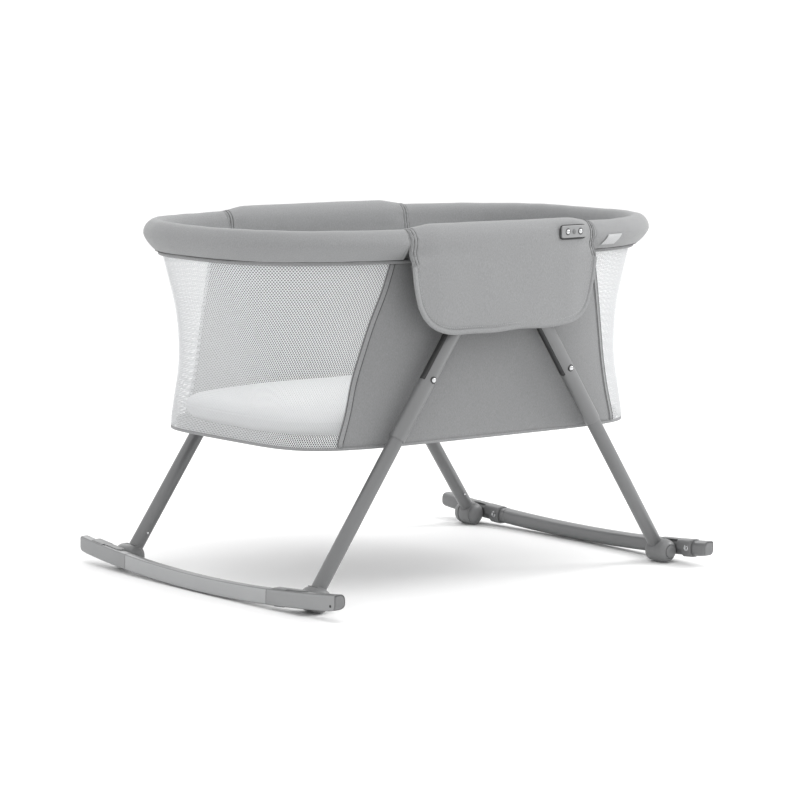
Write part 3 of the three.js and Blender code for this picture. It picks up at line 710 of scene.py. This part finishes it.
# double seams over the rim where the flap is sewn to the padded covers: a raised cord each side and two stitch runs
seam_objs = []
def seam(sign, dx, r, mat, lift):
    x = sign * (200 - dx)
    c = catmull(flap_section(x), 90)
    c = np.array([p for p in c if p[1] > (532 if dx >= 0 else 538)])
    g = np.gradient(c, axis=0); g /= np.linalg.norm(g, axis=1)[:, None] + 1e-9
    nrm = np.stack([g[:, 1], -g[:, 0]], 1)          # outward in (y, z)
    if nrm[0][0] < 0:
        nrm = -nrm
    P = np.array([[x * mm, -(p[0] + n[0] * lift) * mm, (p[1] + n[1] * lift) * mm] for p, n in zip(c, nrm)])
    N = np.array([[0, -n[0], n[1]] for n in nrm])
    return P, N
for sg in (-1, 1):
    for dx, lift, rad in ((-0.2, -1.5, 0.8), (5.2, -0.72, 0.42), (10.6, -0.42, 0.32)):
        P, N = seam(sg, dx, rad, "seam", lift)
        seam_objs.append(sweep("seam", P, ellipse(rad * mm, rad * mm, 8), "binding" if rad > 0.6 else "seam", normals=N))
seams_near = join("near_rim_seams", seam_objs)
seams_far = copies("far_rim_seams", seams_near, "crib", "crib")

# ------------------------------------------------------------------ walls
Z0, Z1, NZ = 246.8, 534.0, 64
def wall_rows(tf, tt, steps, out=0.0, belly=0.0):
    P = []
    for z in np.linspace(Z0, Z1, NZ):
        a, b, n = level(max(z, 254.3))
        if z < 254.3:
            a -= (254.3 - z) * 0.10
        t0, t1 = tf(z, a, n), tt(z, a, n)
        ts = even(a, b, n, t0, t1, steps)
        k = math.sin(math.pi * (z - Z0) / (Z1 - Z0))
        row = []
        for i, t in enumerate(ts):
            e = math.sin(math.pi * i / steps)
            w = nz((sup(a, b, n, t)[0], sup(a, b, n, t)[1], z), 0.009, 2.0) * belly * min(1, 4 * e) * min(1, 3 * k)
            x, y = sup(a + out + w, b + out + w, n, t)
            row.append((x * mm, y * mm, z * mm))
        P.append(row)
    return np.array(P).transpose(1, 0, 2)
nearT = lambda a, n, x: 2 * math.pi - supT(a, n, x)
def wall(name, P, mat, t):
    ob = grid(name, P, mat)
    ob = solidify(ob, t * mm, 0.0)
    return ob
def place_wall(o, node, P, flatw):
    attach(o, "crib"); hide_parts(node)
    w = max(float(np.linalg.norm(np.diff(P[:, j], axis=0), axis=1).sum()) for j in (0, NZ // 2, NZ - 1)) * 1.002
    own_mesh(o)

PP = wall_rows(lambda z, a, n: nearT(a, n, border(BORDER_L, z)), lambda z, a, n: nearT(a, n, border(BORDER_R, z)), 150, -0.8, 1.0)
panel_n = wall("near_side_panel_cloth", PP, "panel", 1.6)
panel_f = half_turn(panel_n, "far_side_panel_cloth")
place_wall(panel_n, "near_side_panel", PP, None)
place_wall(panel_f, "far_side_panel", PP, None)
PM = wall_rows(lambda z, a, n: supT(a, n, -border(BORDER_R, z)), lambda z, a, n: nearT(a, n, border(BORDER_L, z)), 170, -0.8, 0.8)
net_l = wall("left_mesh_end", PM, "net", 0.5)
net_r = half_turn(net_l, "right_mesh_end")
place_wall(net_l, "mesh_wall_left", PM, None)
place_wall(net_r, "mesh_wall_right", PM, None)

# binding tape down each border between panel and netting
def border_tape(name, B, near=True):
    pts, nrm = [], []
    for z in np.linspace(Z0 + 1, Z1 - 1, 60):
        a, b, n = level(max(z, 254.3))
        x = border(B, z)
        t = nearT(a, n, x)
        p = sup(a + 0.2, b + 0.2, n, t)
        g = np.array([math.copysign(abs(p[0] / a) ** (n - 1) / a, p[0]), math.copysign(abs(p[1] / b) ** (n - 1) / b, p[1]), 0])
        pts.append((p[0] * mm, p[1] * mm, z * mm)); nrm.append(g / np.linalg.norm(g))
    s = [(-5.2, -0.9), (5.2, -0.9), (5.6, 0.0), (5.0, 1.0), (1.6, 1.25), (0, 0.75), (-1.6, 1.25), (-5.0, 1.0), (-5.6, 0.0)]
    tape = sweep(name, pts, [(q * mm, r * mm) for q, r in s], "piping", normals=nrm)
    lines = []
    for q in (-4.2, 4.4):
        pp = []
        for k, p in enumerate(pts):
            t = np.array(pts[min(k + 1, len(pts) - 1)]) - np.array(pts[max(k - 1, 0)]); t /= np.linalg.norm(t)
            side = np.cross(t, nrm[k])
            pp.append(np.array(p) + side * q * mm + nrm[k] * 1.15 * mm)
        lines.append(sweep("ln", pp, ellipse(0.55 * mm, 0.45 * mm, 8), "seam", normals=nrm))
    return join(name, [tape] + lines)
tl = border_tape("near_left_border_tape", BORDER_L)
tr = border_tape("near_right_border_tape", BORDER_R)
tapes = [tl, tr, half_turn(tl, "far_right_border_tape"), half_turn(tr, "far_left_border_tape")]
for o in tapes:
    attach(o, "crib")
    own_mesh(o)

# ------------------------------------------------------------------ base: edging, board and mattress
s = [(-1.6, -2.3), (1.2, -2.5), (1.9, -1.0), (1.9, 1.0), (1.2, 2.5), (-1.6, 2.3)]
o = sweep("base_edging", oval_path(374.0, 218.8, 5.0, 244.5), [(a * mm, b * mm) for a, b in s], "piping", closed=True)
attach(o, "base"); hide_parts("base_binding")

def slab(name, a, b, n, rows, mat, steps=200, noise_amp=0.0):
    """closed pad: rows of (z, inset) from the bottom centre to the top centre"""
    P = []
    ts = even(a, b, n, 0.0001, 2 * math.pi + 0.0001, steps)[:-1]
    for z, inset in rows:
        row = []
        for t in ts:
            x, y = sup(max(a - inset, 1), max(b - inset * min(1, (b - 1) / (a - 1) if inset > 40 else 1), 1), n, t)
            row.append((x * mm, y * mm, z * mm))
        P.append(row)
    return P
def pad(name, P, mat):
    ob = grid(name, P, mat, cv=True, caps=True)
    return ob
rows = [(243.2, 10), (243.2, 9), (244, 8.2), (252, 8.0), (258, 8.0), (259.5, 9), (260, 11)]
o = pad("base_board_covered", slab("", 376, 220.5, 5.0, rows, "board"), "board")
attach(o, "base"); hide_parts("base_board")

def mattress():
    rows = [(262.5, 30), (263.2, 22), (266.5, 16), (272, 12.5), (279, 10.4), (286, 9.8), (291, 11.0), (294.2, 14.5), (295.6, 20), (296.0, 32)]
    P = slab("", 378, 219.5, 4.1, rows, "mattress", 180)
    for i, row in enumerate(P):
        for j, (x, y, z) in enumerate(row):
            w = nz((x * 1000, y * 1000, 0), 0.006, 4.0)
            side = math.sin(math.pi * min(1, max(0, (z - 0.262) / 0.034)))
            row[j] = (x * (1 - 0.006 * side * (1 + w)), y * (1 - 0.006 * side * (1 + w)), z + (w * 0.0022 if i > 2 else 0))
    ob = pad("mattress_padded", P, "mattress")
    bm = bmesh.new(); bm.from_mesh(ob.data)
    big = [f for f in bm.faces if len(f.verts) > 4]
    bmesh.ops.triangulate(bm, faces=big)
    bm.to_mesh(ob.data); bm.free()
    m = ob.modifiers.new("r", "REMESH"); m.mode, m.voxel_size = "VOXEL", 0.006
    apply_mods(ob)
    rest = np.array([v.co for v in ob.data.vertices])
    c = ob.modifiers.new("cloth", "CLOTH")
    st = c.settings
    st.use_pressure, st.uniform_pressure_force = True, 3.0
    st.effector_weights.gravity = 0
    st.quality = 4
    st.tension_stiffness = st.compression_stiffness = 30
    c.point_cache.frame_start, c.point_cache.frame_end = 1, 12
    sc = bpy.context.scene
    for f in range(1, 13):
        sc.frame_set(f)
    dg = bpy.context.evaluated_depsgraph_get()
    me = bpy.data.meshes.new_from_object(ob.evaluated_get(dg))
    ob.modifiers.clear()
    now = np.array([v.co for v in me.vertices])
    d = now - rest
    l = np.linalg.norm(d, axis=1)[:, None]
    cap = 0.0035
    d = d * np.minimum(1, cap / np.maximum(l, 1e-9))
    new = rest + d
    new[:, 2] = np.clip(new[:, 2], 0.2606, 0.2995)
    for v, q in zip(me.vertices, new):
        v.co = q
    ob.data = me
    sc.frame_set(1)
    sm = ob.modifiers.new("sm", "SMOOTH"); sm.iterations, sm.factor = 4, 0.5
    apply_mods(ob)
    for p in ob.data.polygons:
        p.use_smooth = True
    if not ob.data.materials:
        ob.data.materials.append(MT["mattress"])
    return ob
mat_ob = mattress()
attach(mat_ob, "base"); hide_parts("mattress")
o = sweep("mattress_piping", oval_path(366.4, 208.2, 4.1, 284.0), ellipse(1.3 * mm, 1.3 * mm, 10), "mattress", closed=True)
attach(o, "base")

# ------------------------------------------------------------------ lock plates
def lock_plate():
    sl = math.atan2(supY(461, 262, 3, 160) - supY(461, 262, 3, 136), 24)
    ex = Vector((math.cos(sl), -math.sin(sl), 0)); ey = Vector((-math.sin(sl), -math.cos(sl), 0)); ez = Vector((0, 0, 1))
    c = Vector((141.5, -supY(461, 262.4, 3, 141.5), 574))
    at = lambda a, o, h: (c + ex * a + ey * o + ez * h) * mm
    def slabshape(w, h, r, d0, d1, mat, name):
        pts = []
        for cx, cz, a0 in ((w - r, h - r, 0), (-w + r, h - r, 90), (-w + r, -h + r, 180), (w - r, -h + r, 270)):
            for k in range(9):
                an = math.radians(a0 + k * 90 / 8)
                pts.append((cx + r * math.cos(an), cz + r * math.sin(an)))
        P = []
        for d, ins in ((d0, 0), (d1 - 0.7, 0), (d1 - 0.2, 0.25), (d1, 0.8)):
            P.append([tuple(at(a * (1 - ins / w), d, h_ * (1 - ins / h))) for a, h_ in pts])
        return grid(name, P, mat, cv=True, caps=True)
    parts = [slabshape(29, 10, 3.5, -0.9, 2.2, "plate", "pl")]
    # black ring round the plate: painted shadow of the recessed gap between cloth and plate
    win = []
    n = 60
    ring = []
    for k in range(n):
        an = 2 * math.pi * k / n
        ca, sa = math.cos(an), math.sin(an)
        q = 8
        rr = (abs(ca / 30.2) ** q + abs(sa / 11.2) ** q) ** (-1 / q)
        ring.append(tuple(at(rr * ca - 0.9, -0.2, rr * sa - 0.7)))
    lock_gap_shadow_ring = sweep("near_lock_gap_shadow_ring", ring, [(a * mm, b * mm) for a, b in ellipse(1.2, 0.8, 10)], "black", closed=True, up=tuple(ey))
    for a in (-15, 15):
        parts.append(lathe("rv", [(p[0] * mm, p[1] * mm) for p in [(0, 2.0), (4.1, 2.0), (4.1, 2.4), (3.6, 3.4), (2.4, 4.2), (1.0, 4.6), (0, 4.65)]], at(a, 0, 0), ey, "steel", 32))
        parts.append(lathe("rr", [(p[0] * mm, p[1] * mm) for p in [(0, 1.9), (5.6, 1.9), (5.6, 2.35), (5.2, 2.45), (0, 2.45)]], at(a, 0, 0), ey, "black", 36))
    pl = join("near_lock_plate_body", parts)
    bt = lathe("near_lock_button_cap", [(p[0] * mm, p[1] * mm) for p in [(0, -0.8), (4.2, -0.8), (4.2, 2.6), (3.9, 3.2), (3.0, 3.8), (1.6, 4.2), (0, 4.3)]], at(0, 0, 0), ey, "plastic", 40)
    return pl, bt, lock_gap_shadow_ring
pl, bt, fr = lock_plate()
pl2, bt2, fr2 = half_turn(pl, "far_lock_plate_body"), half_turn(bt, "far_lock_button_cap"), half_turn(fr, "far_lock_gap_shadow_ring")
for o, b in ((pl, "crib"), (pl2, "crib"), (fr, "crib"), (fr2, "crib"), (bt, "near_lock_button"), (bt2, "far_lock_button")):
    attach(o, b)
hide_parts("near_lock_plate"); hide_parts("far_lock_plate")
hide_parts("near_lock_button"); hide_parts("far_lock_button")

# blank woven label sewn on the rim beside the near flap
def label():
    P = []
    for x in np.linspace(238, 277, 26):
        row = []
        for q in np.linspace(0, 1, 12):
            sec = catmull([(449.5, 242.0, 546.5), (455.8, 253.8, 558.5), (457.3, 256.8, 568.5)], 20)
            k = (q * 0.86) * 19
            a, b, z = [float(np.interp(k, range(20), sec[:, c])) for c in range(3)]
            xx = x + (1 - q) * (-6)
            row.append((xx * mm, -(supY(a, b, 3, xx) + 0.9) * mm, z * mm))
        P.append(row)
    return solidify(grid("rim_label_blank", P, "label"), 0.5 * mm, 0.0)
o = label()
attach(o, "crib")

# ------------------------------------------------------------------ legs, feet and rails
RAIL_R = 2668.0
RSEC = catmull([(-13, 7), (-12, 10), (-9.6, 11), (-4, 11), (4, 11), (9.6, 11), (12, 10), (13, 7), (13, -2), (11.4, -6.8), (7.6, -10), (2.6, -11), (-2.6, -11), (-7.6, -10), (-11.4, -6.8), (-13, -2)], 44, closed=True)
def rail_c(side, y):
    u, n, at = leg(side, 0)
    return at(LEG_LEN) + u * (16.5 + (LEG_Y ** 2 - y ** 2) / (2 * RAIL_R)) + n * 28.6 + np.array([-2.5 * side, y, 0])
def rail_axes(side):
    """down and outward: the flat outer face of a rail stands upright"""
    return np.array([0.0, 0.0, -1.0]), np.array([float(side), 0.0, 0.0])
def rail(name, side, y0, y1, steps, mat, k=1.0, grow=0.0, ends=0.0, round_end=None):
    u, n = rail_axes(side)
    ys = list(np.linspace(y0, y1, steps + 1))
    P = []
    ks = [(y, k, 0.0) for y in ys]
    if ends:   # small chamfer at each end
        ks = [(y0, k * (1 - ends / 13), 0)] + [(y0 + ends * (1 if y1 > y0 else -1), k, 0)] + [(y, k, 0) for y in ys[1:-1]] + [(y1 - ends * (1 if y1 > y0 else -1), k, 0), (y1, k * (1 - ends / 13), 0)]
    for y, kk, _z in ks:
        c = rail_c(side, y)
        P.append([(c + (u * a + n * e) * (kk + grow / math.hypot(a, e))) * mm for a, e in RSEC])
    ob = grid(name, P, mat, cv=True, caps=True)
    return sharp(ob, 40)

def tip_sleeve(side, tip, seam):
    """moulded end of a rail: small shoulder at the seam, full section, rounded nose"""
    u, n = rail_axes(side)
    o = math.copysign(1, tip)
    rows = [(seam, 0.965), (seam + o * 0.5, 1.0), (seam + o * 1.4, 1.008)] + [(seam + (tip - o * 10 - seam) * q, 1.008) for q in np.linspace(0.03, 1, 26)]
    rows += [(tip - o * d, 1.008) for d in (8, 6, 4, 2.4, 1.3)]
    rows += [(tip - o * d, k) for d, k in ((0.6, 0.99), (0.2, 0.955), (0.2, 0.925), (2.4, 0.91), (2.4, 0.84), (0.5, 0.82), (0.1, 0.76), (0.0, 0.5))]
    P = []
    for y, k in rows:
        c = rail_c(side, y)
        back = max(0.0, (abs(y) - (abs(tip) - 16)) / 16)
        row = []
        for a, e in RSEC:
            q = max(0.0, a * k - 3.5)
            lean = 9.5 - math.sqrt(max(0.0, 9.5 ** 2 - q * q))
            row.append((c + (u * a + n * e) * k - np.array([0, o * lean * back, 0])) * mm)
        P.append(row)
    ob = grid("sl", P, "sleeve", cv=True, caps=True)
    ob.data.materials.append(MT["tube"])
    ob.data.materials.append(MT["plastic"])
    for f in ob.data.polygons:
        yc_ = sum(ob.data.vertices[i].co.y for i in f.vertices) / len(f.vertices) / mm
        f.material_index = 2 if abs(f.normal.y) > 0.6 and abs(yc_) > abs(tip) - 14 else (0 if f.normal.dot(Vector(n)) > 0.80 else 1)
    return sharp(ob, 42)

def rod(name, at, profile, mat, seg=56):
    """profile [(radius, distance down the leg)]"""
    a, b = at(0), at(1)
    return lathe(name, [(r * mm, d * mm) for r, d in profile], Vector(a) * mm, Vector(b - a), mat, seg)

for side, S in ((-1, "left"), (1, "right")):
    for yc, Y in ((-LEG_Y, "near"), (LEG_Y, "far")):
        out = math.copysign(1, yc)
        u, n, at = leg(side, yc)
        pv = at(34)
        # upper tube with its round pivot eye
        up = rod("up", at, [(0, 20.6), (4.5, 21.2), (8.4, 23.5), (10.6, 25.7), (12.3, 28.5), (13.3, 33.5), (13.5, 40), (13.5, 66), (13.5, 372.6), (13.2, 373.9), (12.8, 374.5), (12.4, 373.9), (12.3, 372.6), (12.3, 64), (0, 64)], "tube")
        dc = at(262)
        ringp = lathe("rg", [(r * mm, h * mm) for r, h in [(4.4, 12.2), (5.9, 12.2), (5.9, 13.3), (5.5, 13.8), (4.8, 13.8), (4.4, 13.3)]], Vector(dc) * mm, (0, out, 0), "black", 32)
        # black strip on the inner side of the tube, from the hub to the button: painted shadow of the dark gap between
        # tube and cloth
        P = []
        for d in np.linspace(46, 268, 40):
            c = at(d)
            row = []
            for a, h in ((-5.6, -11.4), (-5.4, -12.9), (-4.0, -14.3), (0, -15.0), (4.0, -14.3), (5.4, -12.9), (5.6, -11.4)):
                row.append((c - n * h * side * out + np.array([0, a + out * 1.5, 0])) * mm)
            P.append(row)
        gap_shadow_strip = grid("st", P, "black", cv=True, caps=True)
        leg_ob = join(f"{Y}_{S}_upper_tube_body", [up, ringp, gap_shadow_strip])
        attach(leg_ob, f"{S}_upper_legs"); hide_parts(f"{Y}_{S}_upper_tube")
        b = lathe(f"{Y}_{S}_leg_button_dome", [(r * mm, h * mm) for r, h in [(0, 8.2), (4.1, 8.2), (4.1, 13.9), (3.9, 14.9), (3.2, 15.8), (2.0, 16.3), (0, 16.5)]], Vector(dc) * mm, (0, out, 0), "steel", 40)
        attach(b, f"{Y}_{S}_leg_button"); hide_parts(f"{Y}_{S}_leg_button")
        # lower tube, with the eye inside the ball housing
        ball = at(LEG_LEN)
        lo = rod("lo", at, [(0, 275), (10.4, 275), (10.4, 247), (10.8, 245.4), (11.6, 245.4), (12, 246.6), (12, 658), (11.2, 660), (0, 660)], "lower")
        drum = lathe("dr", [(r_ * mm, h * mm) for r_, h in [(0, -13.1), (19.2, -13.1), (19.55, -12.6), (20.1, -8), (20.3, -3), (20.3, 3), (20.1, 8), (19.55, 12.6), (19.2, 13.1), (0, 13.1)]], Vector(ball) * mm, (0, 1, 0), "plastic", 64)
        turned = []
        for deg in (0, 12, 24, 35):
            rot = Matrix.Rotation(math.radians(deg) * (-1 if side < 0 else 1), 3, "Y")
            n_, u_ = rot @ Vector(n), rot @ Vector(u)
            turned.append((n_, u_))
            cut = box_ob("c", (10 * mm, 18.5 * mm, 20 * mm), (n_, u_, (0, 1, 0)), (Vector(ball) + n_ * 20.2 + u_ * 2.8) * mm, "plastic")
            drum = boolean(drum, cut)
        rv = lathe("rv", [(r * mm, h * mm) for r, h in [(0, 11.0), (2.1, 11.0), (2.1, 12.1), (1.7, 12.6), (0.8, 12.9), (0, 12.9)]], Vector(at(LEG_LEN - 46)) * mm, (0, -out, 0), "steel", 24)
        cut = box_ob("c", (5.6 * mm, 15 * mm, 12 * mm), (tuple(n), tuple(u), (0, 1, 0)), (at(260) + np.array([0, out * 14, 0])) * mm, "lower")
        lo = boolean(lo, cut)
        lo = sharp(join(f"{Y}_{S}_lower_tube_body", [lo, drum, rv]), 32)
        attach(lo, f"{S}_lower_legs"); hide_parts(f"{Y}_{S}_lower_tube")
        # ball housing: rounded barrel, slot for the leg, seam line, cap recess
        prof = [(0, -24), (7, -24), (11, -23.4), (14, -22.2), (16.4, -20.2), (18.3, -17.2), (19.6, -13), (20.3, -8), (20.5, -3), (20.5, 3), (20.3, 8), (19.6, 13), (18.3, 17.2), (16.4, 20.2), (14, 22.4), (12.6, 23.4), (11.9, 23.5), (11.4, 23.0), (11.4, 17), (0, 17)]
        mid_b = Vector(ball) + Vector((0, out * 5, 0))
        hb = lathe("hb", [(r_ * mm, h * mm) for r_, h in prof], mid_b * mm, (0, out, 0), "plastic", 72)
        gap = lathe("gp", [(0, -13.3 * mm), (32 * mm, -13.3 * mm), (32 * mm, 13.3 * mm), (0, 13.3 * mm)], Vector(ball) * mm, (0, 1, 0), "plastic", 24)
        web = box_ob("wb", (7 * mm, 15 * mm, 30 * mm), (tuple(n), tuple(u), (0, 1, 0)), (ball + n * 17.8 + u * 0.5) * mm, "plastic")
        gap = boolean(gap, web)
        hb = boolean(hb, gap)
        rc = rail("rc", side, yc - 30, yc + 30, 6, "plastic", 1.0, 0.45)
        hb = boolean(hb, rc)
        hb.name = f"{Y}_{S}_ball_housing_body"
        hb = bevel(hb, 0.7 * mm, 2, 35)
        sharp(hb, 50)
        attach(hb, f"{S}_rocker"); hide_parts(f"{Y}_{S}_ball_housing")
        cp = lathe(f"{Y}_{S}_ball_cap_button", [(r * mm, h * mm) for r, h in [(0, 20.4), (10.9, 20.4), (10.9, 23.9), (10.6, 24.6), (9.8, 25.0), (6, 25.3), (0, 25.4)]], mid_b * mm, (0, out, 0), "plastic", 56)
        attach(cp, f"{Y}_{S}_ball_cap"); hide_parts(f"{Y}_{S}_ball_cap")
        # saddle bracket along the rail
        dY = 1 if side < 0 else -1
        ys = yc + out * 5 + dY * 22.8
        ye = ys + dY * 33.5
        sad = [(-14.2, 7), (-14.8, 5.5), (-15.0, -4), (-14.6, -9), (-13.2, -12.4), (-9, -13.9), (0, -14.2), (7, -13.8), (12, -12), (14.2, -9.4), (15, -6), (15, 2.4), (13.2, 3.4), (0, 6), (-12.6, 8.4)]
        sad = catmull(sad, 76, closed=True)
        P = []
        ru, rn = rail_axes(side)
        for q in np.linspace(0, 1, 18):
            c = rail_c(side, ys + (ye - ys) * q)
            P.append([(c + ru * a + rn * e) * mm for a, e in sad])
        br = grid("br", P, "plastic", cv=True, caps=True)
        rc = rail("rc", side, min(ys, ye) - 8, max(ys, ye) + 8, 8, "plastic", 1.0, 0.35)
        br = boolean(br, rc)
        # the lower part is cut away between the ball and the tab
        cutc = rail_c(side, ys + dY * 6.2) - rn * 6 + ru * 11.5
        br = boolean(br, box_ob("c", (9.5 * mm, 12 * mm, 7.2 * mm), (tuple(ru), tuple(rn), (0, 1, 0)), cutc * mm, "plastic"))
        br = sharp(bevel(br, 0.5 * mm, 2, 40), 40)
        # thin ledge that carries on over the rail past the ball
        P = []
        for q in np.linspace(0, 1, 14):
            y = yc - dY * 17 + (ys + dY * 3 - yc + dY * 17) * q
            c = rail_c(side, y)
            wd = 1.0 if q > 0.12 else 0.55 + 0.45 * math.sqrt(max(0.0, 1 - (1 - q / 0.12) ** 2))
            P.append([(c + ru * a + rn * (e * wd - 2)) * mm for a, e in ((-12.6, 6.6), (-14.2, 6.8), (-14.9, 5.6), (-15.0, 0), (-14.9, -5.6), (-14.2, -6.8), (-12.6, -6.6))])
        br = join("br", [br, sharp(grid("lg", P, "plastic", cv=True, caps=True), 40)])
        ax = -rn
        cs = rail_c(side, ye - dY * 9.0) - rn * 13.9 - ru * 1.0
        boss = lathe("bo", [(r_ * mm, h * mm) for r_, h in [(0, -4), (6.2, -4), (6.2, 0.6), (5.8, 1.2), (0, 1.2)]], Vector(cs) * mm, Vector(ax), "plastic", 40)
        scr = lathe("sc", [(r_ * mm, h * mm) for r_, h in [(0, 0.6), (4.9, 0.6), (4.9, 1.7), (4.2, 2.3), (3.4, 2.2), (3.0, 1.3), (1.6, 1.2), (1.5, 0.9), (0, 0.9)]], Vector(cs) * mm, Vector(ax), "steel", 40)
        scr = join("sc", [boss, scr])
        br = join(f"{Y}_{S}_rail_bracket_body", [br, scr])
        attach(br, f"{S}_rocker"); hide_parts(f"{Y}_{S}_rail_bracket")
    # rails and sleeves
    yA, yB = (-176, 195) if side < 0 else (-195, 176)
    mid = rail(f"{S}_rail_body", side, yA, yB, 60, "rail", ends=0.35)
    # satin face on the outside, the coated colour round the rest
    un, nn = rail_axes(side)
    mid.data.materials.append(MT["tube"])
    for p in mid.data.polygons:
        p.material_index = 0 if p.normal.dot(Vector(nn)) > 0.93 else 1
    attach(mid, f"{S}_rocker"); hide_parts(f"{S}_rail")
    for Y, a, b in (("near", -332.0, yA - 0.5), ("far", yB + 0.5, 332.0)):
        sl = tip_sleeve(side, a if Y == "near" else b, b if Y == "near" else a)
        tip = a if Y == "near" else b
        o = math.copysign(1, tip)
        u, n, _ = leg(side, 0)
        if side * tip > 0:
            cs = rail_c(side, tip - o * 9) + nn * 11.2 + un * 4.5
            scr = lathe("sc", [(r_ * mm, h * mm) for r_, h in [(0, -0.4), (2.2, -0.4), (2.2, 0.25), (1.7, 0.45), (1.2, 0.0), (0, 0.0)]], Vector(cs) * mm, Vector(nn), "black", 28)
            sl = join("sl", [sl, scr])
        so = join(f"{Y}_{S}_rail_sleeve_body", [sl])
        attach(so, f"{S}_rocker"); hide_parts(f"{Y}_{S}_rail_sleeve")

# ------------------------------------------------------------------ carried-over frame nodes
for name, node in frame["nodes"].items():
    if node.hide_render:
        continue
    key = ("steel" if "pin" in name else "plastic" if "hub_" in name else "tube" if "rim_tube" in name else "plastic")
    node.data.materials.clear()
    node.data.materials.append(MT[key])
    for p in node.data.polygons:
        p.use_smooth = "rim_tube" in name or "pin" in name
